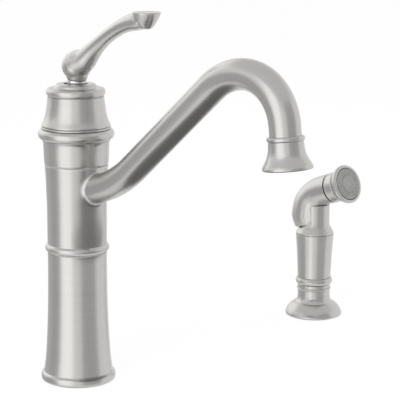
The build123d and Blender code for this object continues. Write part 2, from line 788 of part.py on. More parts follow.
def head_plane(distance):
    """Plane square to the spray head's axis."""
    return Plane(origin=head_origin + head_heading * distance, x_dir=(1, 0, 0), z_dir=head_heading)


with BuildPart() as wand_head:
    with BuildSketch(spray_section):
        with BuildLine():
            Polyline(
                (0, head_root), (14.0, head_root), (14.0, grip_top + 0.05), (17.3, grip_top + 0.05),
                (17.9, grip_top + 0.6), (17.9, 77.9), (17.6, 78.2), (17.9, 78.5), (17.9, 79.3),
                (17.5, shoulder_height),
            )
            cone = Spline(
                (17.5, shoulder_height), (15.2, 82.7), (13.3, 85.5), (neck_radius, 86.8),
                tangents=[(-1, 0.9), (0, 1)],
            )
            Polyline(cone @ 1, (neck_radius, neck_top), (0, neck_top), (0, head_root))
        make_face()
    revolve(axis=spray_axis)
    # the cone is cut away behind, where the toe of the lever moves in
    with BuildSketch(Plane.XY.offset(shoulder_height + 0.1)):
        with Locations((spray_x, 0)):
            Circle(19.0)
            Circle(neck_radius, mode=Mode.SUBTRACT)
        with Locations((spray_x, -16.5)):
            Rectangle(40, 40, mode=Mode.SUBTRACT)
    extrude(amount=7.0, mode=Mode.SUBTRACT)
    # top of the neck, slanted in front like the edge of the lever above it
    with BuildSketch(spray_side):
        Polygon(
            (20, neck_top), (20, 107.6), (-6.2, 107.6 + 6.2 * slot_line),
            (-20, 107.6 + 20 * slot_line), (-20, neck_top), align=None,
        )
    extrude(amount=20, both=True, mode=Mode.SUBTRACT)
    with Locations((spray_x, 0, 101.5)):
        Sphere(12.3)
    with BuildSketch(head_plane(-6.4)):
        Circle(8.6)
    extrude(amount=29.4)
    with BuildSketch(head_section):
        with BuildLine():
            Polyline((0, 22.8), (13.1, 22.8), (13.95, 23.5), (14.0, 24.2))
            swell = Spline(
                (14.0, 24.2), (14.25, 27.5), (14.6, 31.4), tangents=[(0.05, 1), (0.1, 1)],
            )
            Polyline(
                swell @ 1, (14.5, 32.0), (13.9, 32.6), (11.0, 32.6), (11.0, face_back - 0.1),
                (0, face_back - 0.1), (0, 22.8),
            )
        make_face()
    revolve(axis=head_axis)
    # waterway up the neck, through the valve and along the head
    with BuildSketch(Plane.XY.offset(head_root)):
        with Locations((spray_x, 0)):
            Circle(9.0)
    extrude(amount=18.0, mode=Mode.SUBTRACT)
    with BuildSketch(Plane.XY.offset(head_root + 18.0)):
        with Locations((spray_x, 0)):
            Circle(2.2)
    extrude(amount=115.0 - head_root - 18.0, mode=Mode.SUBTRACT)
    with BuildSketch(head_plane(-0.5)):
        Circle(4.0)
    extrude(amount=29.0, mode=Mode.SUBTRACT)
    with BuildSketch(head_plane(28.5)):
        Circle(9.5)
    extrude(amount=12.0, mode=Mode.SUBTRACT)
    # valve bore across the neck, with its seal groove
    with BuildSketch(Plane.XZ.offset(-14)):
        with Locations((spray_x, plunger_height)):
            Circle(3.05)
    extrude(amount=22, mode=Mode.SUBTRACT)
    with BuildSketch(Plane.XZ.offset(-10.4)):
        with Locations((spray_x, plunger_height)):
            Circle(4.4)
    extrude(amount=2.0, mode=Mode.SUBTRACT)
    with BuildSketch(Plane.YZ.offset(spray_x - 10)):
        with Locations(squeeze_pivot):
            Circle(1.55)
    extrude(amount=20, mode=Mode.SUBTRACT)

with BuildPart() as valve_seal:
    with BuildSketch(Plane(origin=(spray_x, 9.4, plunger_height), x_dir=(1, 0, 0), z_dir=(0, 0, 1))):
        with Locations((3.72, 0)):
            Ellipse(0.65, 0.95)
    revolve(axis=Axis((spray_x, 0, plunger_height), (0, 1, 0)))

plunger_stroke = 1.6
with BuildPart() as plunger:
    with BuildSketch(Plane(origin=(spray_x, 0, plunger_height), x_dir=(1, 0, 0), z_dir=(0, 0, 1))):
        Polygon(
            (0, -5.2), (2.4, -5.2), (3.0, -4.6), (3.0, 2.4), (1.3, 3.0), (1.3, 5.6), (3.0, 6.2),
            (3.0, 17.6), (2.2, 18.6), (0, 18.6), align=None,
        )
    revolve(axis=Axis((spray_x, 0, plunger_height), (0, 1, 0)))

with BuildPart() as spray_bezel:
    with BuildSketch(head_section):
        with BuildLine():
            Polyline((11.05, 32.65), (14.2, 32.65), (14.7, 33.1))
            cup = Spline(
                (14.7, 33.1), (16.4, 35.1), (17.6, 37.2), (18.05, 39.3),
                tangents=[(0.8, 0.8), (0.05, 1)],
            )
            ThreePointArc(cup @ 1, (17.75, 41.2), (16.9, 41.9))
            Polyline(
                (16.9, 41.9), (15.3, 42.0), (14.75, 41.5), (14.75, face_back), (11.05, 36.6),
                (11.05, 32.65),
            )
        make_face()
    revolve(axis=head_axis)

with BuildPart() as spray_face:
    with BuildSketch(head_section):
        Polygon(
            (8.3, face_back), (14.65, face_back), (14.65, 41.8), (13.7, 42.8), (8.3, 42.9),
            align=None,
        )
    revolve(axis=head_axis)
    with BuildSketch(head_plane(face_back - 0.2)):
        for ring_radius, ring_count in ((10.0, 20), (12.4, 26)):
            with PolarLocations(ring_radius, ring_count):
                Circle(0.55)
    extrude(amount=4.5, mode=Mode.SUBTRACT)

with BuildPart() as spray_centre:
    with BuildSketch(head_section):
        with BuildLine():
            Polyline(
                (0, face_back), (8.25, face_back), (8.25, 43.0), (7.6, 43.7), (0, 43.9),
                close=True,
            )
        make_face()
    revolve(axis=head_axis)
    with BuildSketch(head_plane(face_back - 0.2)):
        for ring_radius, ring_count in ((2.6, 6), (5.4, 12)):
            with PolarLocations(ring_radius, ring_count):
                Circle(0.6)
    extrude(amount=6.0, mode=Mode.SUBTRACT)

# Squeeze lever: a shell bent over the back and top of the head, open in front of the neck
pin_half_length = 13.0
elbow_height, elbow_radius, elbow_back = 99.2, 24.0, 5.3
shell_stations = [     # turn round the elbow in degrees, outer radius
    (0.0, 18.2), (24.0, 17.2), (47.0, 15.4), (70.6, 13.9),
]
straight_stations = [  # height, centre behind the wand's axis, outer radius
    (80.5, 3.4, 15.6), (90.0, 4.9, 17.5),
]
shell_end = 21.8
shell_front = -4.5


def shell_rings():
    """Centre, heading and radius of the shell's cross-sections, from the toe to the head."""
    rings = [((spray_x, back, height), (0, 0, 1), radius) for height, back, radius in straight_stations]
    for turn, radius in shell_stations:
        angle = radians(turn)
        centre = (
            spray_x,
            elbow_back - elbow_radius + elbow_radius * cos(angle),
            elbow_height + elbow_radius * sin(angle),
        )
        rings.append((centre, (0, -sin(angle), cos(angle)), radius))
    rings.append((head_origin + head_heading * shell_end, head_heading, 13.95))
    return rings


with BuildPart() as spray_lever:
    for centre, heading, radius in shell_rings():
        with BuildSketch(Plane(origin=centre, x_dir=(1, 0, 0), z_dir=heading)):
            Circle(radius)
    loft()
    for centre, heading, radius in shell_rings():
        with BuildSketch(Plane(origin=centre, x_dir=(1, 0, 0), z_dir=heading)):
            Circle(radius - lever_wall)
    loft(mode=Mode.SUBTRACT)
    # rib that pushes the plunger, and the two ears on the pin
    with BuildSketch(Plane.XY.offset(94.5)):
        with Locations((spray_x, 20.6)):
            Rectangle(9.0, 3.2)
    extrude(amount=7.0)
    with BuildSketch(Plane.YZ.offset(spray_x)):
        with Locations(squeeze_pivot):
            Circle(3.4)
    extrude(amount=13.2, both=True)
    with BuildSketch(Plane.YZ.offset(spray_x)):
        with Locations(squeeze_pivot):
            Circle(6.0)
    extrude(amount=9.1, both=True, mode=Mode.SUBTRACT)
    # open front, and the slanted lower edge of the toe above the shoulder
    with BuildSketch(spray_side):
        Polygon(
            (-40, 60), (shell_front, 60), (shell_front, 108.0 - shell_front * slot_line),
            (-40, 108.0 + 40 * slot_line), align=None,
        )
        Polygon(
            (-30, 60), (30, 60), (30, 81.9), (12.0, 82.0), (2.0, 85.4), (shell_front, 87.9),
            (-30, 87.9), align=None,
        )
    extrude(amount=30, both=True, mode=Mode.SUBTRACT)
    with BuildSketch(Plane.YZ.offset(spray_x)):
        with Locations(squeeze_pivot):
            Circle(pin_radius + thread_gap)
    extrude(amount=pin_half_length + 0.2, both=True, mode=Mode.SUBTRACT)

with BuildPart() as lever_pin:
    with BuildSketch(Plane.YZ.offset(spray_x)):
        with Locations(squeeze_pivot):
            Circle(pin_radius)
    extrude(amount=pin_half_length, both=True)

pieces = {
    "base_column": base_column,
    "base_gasket": base_gasket,
    "valve_body": valve_body,
    "mounting_washer": mounting_washer,
    "mounting_nut": mounting_nut,
    **supply_tubes,
    **supply_adapters,
    "lower_seal_rings": lower_seal_rings,
    "upper_seal_rings": upper_seal_rings,
    "lower_glide_ring": lower_glide_ring,
    "upper_glide_ring": upper_glide_ring,
    "diverter_cage": diverter_cage,
    "diverter_poppet": diverter_poppet,
    "diverter_spring": diverter_spring,
    "spout_collar": spout_collar,
    "trim_ring": trim_ring,
    "bonnet": bonnet,
    "cartridge_seal": cartridge_seal,
    "cartridge_housing": cartridge_housing,
    "fixed_disc": fixed_disc,
    "cartridge_nut": cartridge_nut,
    "temperature_carrier": temperature_carrier,
    "stem_pin": stem_pin,
    "moving_disc": moving_disc,
    "disc_driver": disc_driver,
    "lever_stem": lever_stem,
    "lever_handle": lever_handle,
    "set_screw": set_screw,
    "spout_body": spout_body,
    "spout_tube": spout_tube,
    "spout_ring": spout_ring,
    "spout_bell": spout_bell,
    "aerator_washer": aerator_washer,
    "aerator_housing": aerator_housing,
    "aerator_screen": aerator_screen,
    "dock_flange": dock_flange,
    "dock_gasket": dock_gasket,
    "dock_washer": dock_washer,
    "dock_nut": dock_nut,
    "dock_liner": dock_liner,
    "hose_coupling": hose_coupling,
    "coupling_seal": coupling_seal,
    "wand_end_cap": wand_end_cap,
    "wand_grip": wand_grip,
    "wand_head": wand_head,
    "valve_seal": valve_seal,
    "spray_bezel": spray_bezel,
    "spray_face": spray_face,
    "spray_centre": spray_centre,
    "plunger": plunger,
    "spray_lever": spray_lever,
    "lever_pin": lever_pin,
}
for name, piece in pieces.items():
    piece.part.label = name
    export_step(piece.part, f"parts/{name}.step")
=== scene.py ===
import json
import math

import bmesh
import bpy
from mathutils import Matrix, Vector


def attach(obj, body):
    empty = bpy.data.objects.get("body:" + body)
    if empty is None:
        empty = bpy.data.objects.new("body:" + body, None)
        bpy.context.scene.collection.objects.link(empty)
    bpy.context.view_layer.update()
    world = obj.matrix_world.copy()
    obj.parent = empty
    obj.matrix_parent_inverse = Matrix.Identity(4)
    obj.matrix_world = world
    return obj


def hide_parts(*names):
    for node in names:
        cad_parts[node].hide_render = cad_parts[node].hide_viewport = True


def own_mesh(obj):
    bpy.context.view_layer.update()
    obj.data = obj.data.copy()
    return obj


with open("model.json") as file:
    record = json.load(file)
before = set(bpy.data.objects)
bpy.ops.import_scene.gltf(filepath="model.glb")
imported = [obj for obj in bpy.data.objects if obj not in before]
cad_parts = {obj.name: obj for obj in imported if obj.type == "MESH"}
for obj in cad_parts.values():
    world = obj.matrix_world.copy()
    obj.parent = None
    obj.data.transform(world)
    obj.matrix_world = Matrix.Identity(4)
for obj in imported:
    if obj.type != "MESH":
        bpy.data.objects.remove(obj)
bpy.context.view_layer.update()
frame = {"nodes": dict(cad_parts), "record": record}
mm = 0.001
scene = bpy.context.scene

# Camera
cameraSpec = {
    "place": (-0.8576, -1.0175, 0.425),
    "tilt": 78.4,        # degrees from straight down
    "turn": -43.0,
    "lens": 148.5,
    "shiftX": 0.105,
}
cameraData = bpy.data.cameras.new("camera")
cameraData.lens = cameraSpec["lens"]
cameraData.shift_x = cameraSpec["shiftX"]
camera = bpy.data.objects.new("camera", cameraData)
camera.location = cameraSpec["place"]
camera.rotation_euler = (math.radians(cameraSpec["tilt"]), 0, math.radians(cameraSpec["turn"]))
scene.collection.objects.link(camera)
scene.camera = camera
print("camera set")


# Materials
def newMaterial(name):
    material = bpy.data.materials.new(name)
    material.use_nodes = True
    nodes, links = material.node_tree.nodes, material.node_tree.links
    return material, nodes, links, nodes["Principled BSDF"]


def addNode(nodes, kind, **values):
    node = nodes.new(kind)
    for key, value in values.items():
        if key in node.inputs:
            node.inputs[key].default_value = value
        else:
            setattr(node, key, value)
    return node


def paintFrom(noise, material, tones, toneSpan, rough, roughSpan=(0.0, 1.0)):
    nodes, links, shader = material
    tone = addNode(nodes, "ShaderNodeValToRGB")
    for element, position, colour in zip(tone.color_ramp.elements, toneSpan, tones):
        element.position = position
        element.color = (*colour, 1)
    links.new(noise, tone.inputs["Fac"])
    links.new(tone.outputs["Color"], shader.inputs["Base Color"])
    spread = addNode(nodes, "ShaderNodeMapRange")
    for label, value in zip(("From Min", "From Max", "To Min", "To Max"), (*roughSpan, *rough)):
        spread.inputs[label].default_value = value
    links.new(noise, spread.inputs["Value"])
    links.new(spread.outputs["Result"], shader.inputs["Roughness"])


def raiseFrom(noise, material, strength, distance):
    nodes, links, shader = material
    bump = addNode(nodes, "ShaderNodeBump", Strength=strength, Distance=distance)
    links.new(noise, bump.inputs["Height"])
    links.new(bump.outputs["Normal"], shader.inputs["Normal"])


# Fine lines left by the brushing wheel. The grain attribute holds two slow directions and,
# as its third part, the direction across the lines, all in metres.
brushing = {
    "fineScale": (25, 25, 2600), "broadScale": (12, 12, 420), "span": (0.3, 0.7), "depth": 0.000008,
}


def brushedMetal(name, dark, light, roughLow, roughHigh, lineDepth=0.15):
    material, nodes, links, shader = newMaterial(name)
    shader.inputs["Metallic"].default_value = 1.0
    grain = addNode(nodes, "ShaderNodeAttribute", attribute_name="grain").outputs["Vector"]
    fineLines = addNode(nodes, "ShaderNodeTexNoise", Scale=1.0, Detail=3.0, Roughness=0.6)
    broadLines = addNode(nodes, "ShaderNodeTexNoise", Scale=1.0, Detail=2.0)
    for lines, scale in ((fineLines, "fineScale"), (broadLines, "broadScale")):
        stretch = addNode(nodes, "ShaderNodeVectorMath", operation="MULTIPLY")
        stretch.inputs[1].default_value = brushing[scale]
        links.new(grain, stretch.inputs[0])
        links.new(stretch.outputs[0], lines.inputs["Vector"])
    both = addNode(nodes, "ShaderNodeMath", operation="ADD")
    half = addNode(nodes, "ShaderNodeMath", operation="MULTIPLY")
    half.inputs[1].default_value = 0.5
    links.new(fineLines.outputs["Fac"], both.inputs[0])
    links.new(broadLines.outputs["Fac"], both.inputs[1])
    links.new(both.outputs[0], half.inputs[0])
    parts, span = (nodes, links, shader), brushing["span"]
    paintFrom(half.outputs[0], parts, (dark, light), span, (roughLow, roughHigh), span)
    raiseFrom(fineLines.outputs["Fac"], parts, lineDepth, brushing["depth"])
    return material


# Moulded plastic, rubber and plain machined metal: a little mottling and a fine skin
moulding = {"speckle": 900.0, "mottleShare": 8, "span": (0.35, 0.65), "strength": 0.1, "depth": 0.00005}


def mouldedSkin(name, dark, light, roughLow, roughHigh, metallic=0.0):
    material, nodes, links, shader = newMaterial(name)
    shader.inputs["Metallic"].default_value = metallic
    place = addNode(nodes, "ShaderNodeTexCoord").outputs["Object"]
    speckle = moulding["speckle"]
    mottle = addNode(nodes, "ShaderNodeTexNoise", Scale=speckle / moulding["mottleShare"], Detail=4.0)
    skin = addNode(nodes, "ShaderNodeTexNoise", Scale=speckle, Detail=2.0)
    for noise in (mottle, skin):
        links.new(place, noise.inputs["Vector"])
    parts = (nodes, links, shader)
    paintFrom(mottle.outputs["Fac"], parts, (dark, light), moulding["span"], (roughLow, roughHigh))
    raiseFrom(skin.outputs["Fac"], parts, moulding["strength"], moulding["depth"])
    return material


satinNickel = brushedMetal("satinNickel", (0.52, 0.512, 0.497), (0.56, 0.552, 0.537), 0.27, 0.32)
brightNickel = brushedMetal(
    "brightNickel", (0.70, 0.695, 0.68), (0.78, 0.775, 0.76), 0.08, 0.14, lineDepth=0.1,
)
sprayGrey = mouldedSkin("sprayGrey", (0.30, 0.30, 0.29), (0.36, 0.36, 0.35), 0.35, 0.5, 0.4)
# painted shade: a flat dark colour standing for the shade inside each nozzle's hole
paintedHoleShade = mouldedSkin("paintedHoleShade", (0.04, 0.04, 0.04), (0.06, 0.06, 0.06), 0.5, 0.6)
machinedBrass = mouldedSkin("machinedBrass", (0.58, 0.42, 0.19), (0.68, 0.51, 0.25), 0.22, 0.34, 1.0)
drawnCopper = mouldedSkin("drawnCopper", (0.62, 0.30, 0.18), (0.74, 0.38, 0.24), 0.22, 0.36, 1.0)
zincSteel = mouldedSkin("zincSteel", (0.48, 0.49, 0.50), (0.58, 0.59, 0.60), 0.28, 0.42, 1.0)
whitePlastic = mouldedSkin("whitePlastic", (0.72, 0.72, 0.70), (0.80, 0.80, 0.78), 0.4, 0.5)
greyPlastic = mouldedSkin("greyPlastic", (0.14, 0.14, 0.14), (0.18, 0.18, 0.18), 0.4, 0.55)
ceramicWhite = mouldedSkin("ceramicWhite", (0.80, 0.79, 0.75), (0.85, 0.84, 0.80), 0.12, 0.2)
blackRubber = mouldedSkin("blackRubber", (0.018, 0.018, 0.018), (0.03, 0.03, 0.03), 0.6, 0.75)
print("materials made")


# Shaping helpers
def smoothRun(points, steps=5):        # points of a smooth line through the given ones
    ends = [points[0], *points, points[-1]]
    run = []
    for a, b, c, d in zip(ends, ends[1:], ends[2:], ends[3:]):
        for k in range(steps):
            t = k / steps
            run.append(tuple(
                0.5 * (2 * q + (r - p) * t + (2 * p - 5 * q + 4 * r - s) * t**2
                       + (3 * q - p - 3 * r + s) * t**3)
                for p, q, r, s in zip(a, b, c, d)
            ))
    run.append(tuple(points[-1]))
    return run


def roundCorners(loop, steps=3):       # a third value in a point is the radius of its corner
    out = []
    for before, point, after in zip([loop[-1], *loop], loop, [*loop[1:], loop[0]]):
        if len(point) == 2:
            out.append(point)
            continue
        here, radius = Vector(point[:2]), point[2]
        toBefore = (Vector(before[:2]) - here).normalized()
        toAfter = (Vector(after[:2]) - here).normalized()
        half = toBefore.angle(toAfter) / 2
        back = radius / math.tan(half)
        first, last = here + toBefore * back, here + toAfter * back
        for k in range(steps + 1):
            t = k / steps
            curve = first * (1 - t)**2 + here * 2 * t * (1 - t) + last * t**2
            out.append(tuple(curve))
    return out


def frameAlong(place, heading):        # turns a shape made along +Z to its heading
    z = Vector(heading).normalized()
    x = Vector((1, 0, 0))
    y = z.cross(x).normalized()
    x = y.cross(z)
    turn = Matrix((x, y, z)).transposed().to_4x4()
    return Matrix.Translation(Vector(place)) @ turn


creaseAngle = 38.0                     # sharper edges than this stay sharp, in degrees


def finishPiece(name, bm, material, sharpAngle=creaseAngle):
    bmesh.ops.recalc_face_normals(bm, faces=bm.faces)
    mesh = bpy.data.meshes.new(name)
    bm.to_mesh(mesh)
    bm.free()
    mesh.transform(Matrix.Scale(mm, 4))
    grain = mesh.attributes.get("grain")
    if grain:
        values = [0.0] * (3 * len(mesh.vertices))
        grain.data.foreach_get("vector", values)
        grain.data.foreach_set("vector", [v * mm for v in values])
    mesh.shade_smooth()
    mesh.set_sharp_from_angle(angle=math.radians(sharpAngle))
    mesh.materials.append(material)
    piece = bpy.data.objects.new(name, mesh)
    scene.collection.objects.link(piece)
    return piece


# Turns a closed loop of (radius, height) round an axis and adds it to a mesh in the making
def addTurned(bm, loop, place=(0, 0, 0), heading=(0, 0, 1), around=144):
    grain = bm.verts.layers.float_vector.get("grain") or bm.verts.layers.float_vector.new("grain")
    stand = frameAlong(place, heading)
    loop = roundCorners(loop)
    rings, travel = [], 0.0
    for index, (radius, height) in enumerate(loop):
        if index:
            travel += math.dist(loop[index - 1], loop[index])
        if radius < 1e-4:
            vert = bm.verts.new(stand @ Vector((0, 0, height)))
            vert[grain] = (0, 0, travel)
            rings.append([vert] * around)
            continue
        ring = []
        for k in range(around):
            angle = 2 * math.pi * k / around
            x, y = radius * math.cos(angle), radius * math.sin(angle)
            vert = bm.verts.new(stand @ Vector((x, y, height)))
            vert[grain] = (x, y, travel)
            ring.append(vert)
        rings.append(ring)
    for low, high in zip(rings, [*rings[1:], rings[0]]):
        if low[0] is low[1] and high[0] is high[1]:
            continue
        for k in range(around):
            n = (k + 1) % around
            corners = [low[k], low[n], high[n], high[k]]
            corners = [c for i, c in enumerate(corners) if c not in corners[:i]]
            if len(corners) > 2:
                bm.faces.new(corners)


def turnedPiece(name, loop, material, place=(0, 0, 0), heading=(0, 0, 1), around=144):
    bm = bmesh.new()
    addTurned(bm, loop, place, heading, around)
    return finishPiece(name, bm, material)


def standIn(piece, body, *nodes):      # the piece rides on a body and stands for CAD nodes
    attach(piece, body)
    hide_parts(*nodes)


# Geometry node helpers
def newTree(name, inputs):
    tree = bpy.data.node_groups.new(name, "GeometryNodeTree")
    tree.interface.new_socket("Geometry", in_out="INPUT", socket_type="NodeSocketGeometry")
    for label, kind, value in inputs:
        socket = tree.interface.new_socket(label, in_out="INPUT", socket_type=kind)
        socket.default_value = value
    tree.interface.new_socket("Geometry", in_out="OUTPUT", socket_type="NodeSocketGeometry")
    start = tree.nodes.new("NodeGroupInput")
    end = tree.nodes.new("NodeGroupOutput")
    return tree, start, end


def runTree(source, tree, values, name):
    modifier = source.modifiers.new("shape", "NODES")
    modifier.node_group = tree
    for item in tree.interface.items_tree:
        if item.item_type == "SOCKET" and item.in_out == "INPUT" and item.name in values:
            modifier[item.identifier] = values[item.name]
    evaluated = source.evaluated_get(bpy.context.evaluated_depsgraph_get())
    mesh = bpy.data.meshes.new_from_object(evaluated)
    bpy.data.objects.remove(source)
    piece = bpy.data.objects.new(name, mesh)
    mesh.name = name
    scene.collection.objects.link(piece)
    return piece


def link(tree, first, second):
    tree.links.new(first, second)


# Column
column = {
    "bead": [(29.9, 0.3), (30.7, 1.1), (31.08, 2.7), (31.0, 4.7), (30.45, 6.2), (29.8, 6.95)],
    "flare": [
        (28.7, 8.3), (28.4, 10), (27.75, 15), (27.2, 20), (26.7, 26), (26.25, 33), (25.8, 41),
        (25.42, 50), (25.12, 59), (24.9, 67), (24.72, 76), (24.62, 84), (24.52, 97), (24.5, 108.4),
    ],
    "top": 109.3,
    "bore": 22.4,
}
columnLoop = [
    (28.8, 0.0), *smoothRun(column["bead"]), (29.3, 7.4), (28.85, 7.8, 0.2),
    *smoothRun(column["flare"]), (24.45, 109.1), (24.0, column["top"]),
    (column["bore"], column["top"]), (column["bore"], 6.5), (14.9, 6.5), (14.9, 3.0), (28.8, 3.0),
]
standIn(turnedPiece("columnShell", columnLoop, satinNickel), "faucet", "base_column")

collar = {
    "bottom": 183.05,
    "neck": [(26.4, 183.8), (26.75, 189), (26.95, 196), (27.35, 200.6), (28.0, 202.7)],
    "torus": [
        (28.9, 203.7), (30.2, 204.7), (31.0, 206.2), (31.2, 208.0), (30.75, 209.8), (29.7, 211.2),
        (28.7, 211.9),
    ],
}
collarLoop = [
    (22.0, collar["bottom"]), (26.1, collar["bottom"], 0.25), *smoothRun(collar["neck"]),
    (27.5, 202.85, 0.1), (27.5, 203.25, 0.1), *smoothRun(collar["torus"]), (21.6, 211.9),
    (21.6, 188.8), (22.0, 188.8),
]
standIn(turnedPiece("collarShell", collarLoop, satinNickel), "faucet", "spout_collar")

trimLoop = [
    (22.4, 212.0),
    *smoothRun([(27.6, 212.0), (28.45, 212.35), (28.7, 213.05), (28.45, 213.75), (27.6, 214.1)]),
    (22.4, 214.1),
]
standIn(turnedPiece("trimBead", trimLoop, satinNickel), "faucet", "trim_ring")

bonnet = {
    "skirt": [
        (28.1, 215.2), (27.3, 217), (26.2, 219.6), (25.2, 223), (24.45, 227), (23.9, 231),
        (23.4, 234.6), (23.1, 238.4),
    ],
    "bead": [(23.15, 239.3), (23.85, 240.2), (24.15, 242.0), (23.85, 243.7), (23.1, 244.7)],
    "dome": [
        (22.2, 245.05), (20.0, 245.2), (18.2, 245.3), (17.5, 245.7), (17.0, 247.0), (16.2, 248.1),
        (14.6, 248.75), (11.4, 248.97),
    ],
}
bonnetLoop = [
    (25.8, 214.2), (28.1, 214.2, 0.35), *smoothRun(bonnet["skirt"]),
    (22.2, 238.65, 0.1), (22.2, 239.1, 0.1), *smoothRun(bonnet["bead"]),
    (22.5, 244.8, 0.1), *smoothRun(bonnet["dome"]), (10.5, 249.0, 0.3), (10.0, 248.5), (10.0, 247.6),
    (13.6, 247.0), (15.6, 245.4), (17.0, 243.8), (21.4, 243.0), (21.4, 239.0), (20.9, 236.4),
    (20.9, 226.0), (22.6, 224.0), (24.2, 218.0),
]
standIn(turnedPiece("bonnetShell", bonnetLoop, satinNickel), "faucet", "bonnet")
print("column turned")

# Spout
spout = {
    "rootHeight": 158.7,
    "rootAngle": 14.5,
    "lead": 26.2,
    "bendRadius": 112.8,
    "runAngle": 40.0,
    "run": 112.8,
    "archRadii": (57.0, 47.0, 37.8),
    "archAngles": (40.0, 10.0, -10.6, -83.5),
    "outletLead": 11.7,
    "ringBack": 3.0,
    "tubeRadius": 11.7,
    "tubeStart": 25.8,
    "tubeStep": 2.0,
    "around": 96,
}


def spoutLegs():                       # straight legs and arcs of the centre line, in order
    yield spout["lead"], 0.0
    turn = spout["runAngle"] - spout["rootAngle"]
    yield spout["bendRadius"] * math.radians(turn), 1 / spout["bendRadius"]
    yield spout["run"], 0.0
    angles = spout["archAngles"]
    for radius, angleIn, angleOut in zip(spout["archRadii"], angles, angles[1:]):
        yield radius * math.radians(angleIn - angleOut), -1 / radius
    yield spout["outletLead"], 0.0


def spoutPoint(travel):                # place and heading after a given length of centre line
    forward, height, angle = 0.0, spout["rootHeight"], math.radians(spout["rootAngle"])
    for length, bend in spoutLegs():
        step = min(length, travel)
        if bend:
            newAngle = angle + bend * step
            forward += (math.sin(newAngle) - math.sin(angle)) / bend
            height += (math.cos(angle) - math.cos(newAngle)) / bend
            angle = newAngle
        else:
            forward += math.cos(angle) * step
            height += math.sin(angle) * step
        travel -= step
        if travel <= 0:
            break
    return Vector((0, -forward, height)), Vector((0, -math.cos(angle), math.sin(angle)))


spoutLength = sum(length for length, bend in spoutLegs())

sleeve = {
    "bottom": 109.95,
    "waist": [(24.9, 110.35), (26.0, 111.1), (26.6, 113.0), (26.0, 115.0), (24.95, 116.1)],
    "barrel": [
        (24.6, 117.0), (24.6, 120), (24.65, 132), (24.72, 148), (25.15, 160), (25.35, 169),
        (25.85, 177), (26.18, 181.6),
    ],
    "top": 182.4,
    "bore": 22.0,
}
sleeveLoop = [
    (sleeve["bore"], sleeve["bottom"]), (24.6, sleeve["bottom"], 0.2), *smoothRun(sleeve["waist"]),
    (24.62, 116.4), *smoothRun(sleeve["barrel"]), (26.0, sleeve["top"], 0.3),
    (sleeve["bore"], sleeve["top"]),
]


def sleeveRadius(height):
    line = sleeve["barrel"]
    for (r0, z0), (r1, z1) in zip(line, line[1:]):
        if height <= z1:
            return r0 + (r1 - r0) * (height - z0) / (z1 - z0)
    return line[-1][0]


def onTube(travel, angle, radius):     # point on the spout's skin; angle 0 is its upper side
    centre, heading = spoutPoint(travel)
    up = heading.cross(Vector((1, 0, 0)))
    return centre + radius * (math.cos(angle) * up + math.sin(angle) * Vector((1, 0, 0)))


# The fillet where the spout leaves the sleeve lies on the tube and is tucked into both
rootFillet = {
    "size": 3.2, "skin": 0.03, "past": 0.6, "under": 0.8, "back": 1.5, "sunk": 1.2,
    "search": (10.0, 60.0), "halvings": 40,
}


def meetsSleeve(angle, radius):        # how far along the spout its skin leaves the sleeve
    low, high = rootFillet["search"]
    for halving in range(rootFillet["halvings"]):
        middle = (low + high) / 2
        point = onTube(middle, angle, radius)
        if math.hypot(point.x, point.y) < sleeveRadius(point.z):
            low = middle
        else:
            high = middle
    return low


def addRootFillet(bm, around=96, steps=8):
    grain = bm.verts.layers.float_vector.get("grain")
    radius, size = spout["tubeRadius"], rootFillet["size"]
    top, under = radius + rootFillet["skin"], radius - rootFillet["under"]
    rows = []
    for k in range(around):
        angle = 2 * math.pi * k / around
        foot = onTube(meetsSleeve(angle, radius + size), angle, radius + size)
        meeting = meetsSleeve(angle, radius)
        corner = onTube(meeting, angle, radius)
        reach = meeting + size
        tip = onTube(reach, angle, top)
        row = []
        for step in range(steps + 1):
            t = step / steps
            row.append(foot * (1 - t)**2 + corner * 2 * t * (1 - t) + tip * t**2)
        row.append(onTube(reach + rootFillet["past"], angle, top))
        row.append(onTube(reach + rootFillet["past"], angle, under))
        row.append(onTube(reach - rootFillet["back"], angle, under))
        outward = Vector((foot.x, foot.y, 0)).normalized()
        row.append(foot - outward * rootFillet["sunk"])
        rows.append([bm.verts.new(p) for p in row])
        for vert in rows[-1]:
            vert[grain] = vert.co
    for first, second in zip(rows, [*rows[1:], rows[0]]):
        for a, b, c, d in zip(first, second, [*second[1:], second[0]], [*first[1:], first[0]]):
            bm.faces.new((a, b, c, d))


bm = bmesh.new()
addTurned(bm, sleeveLoop)
addRootFillet(bm)
standIn(finishPiece("spoutSleeve", bm, satinNickel), "spout", "spout_body")


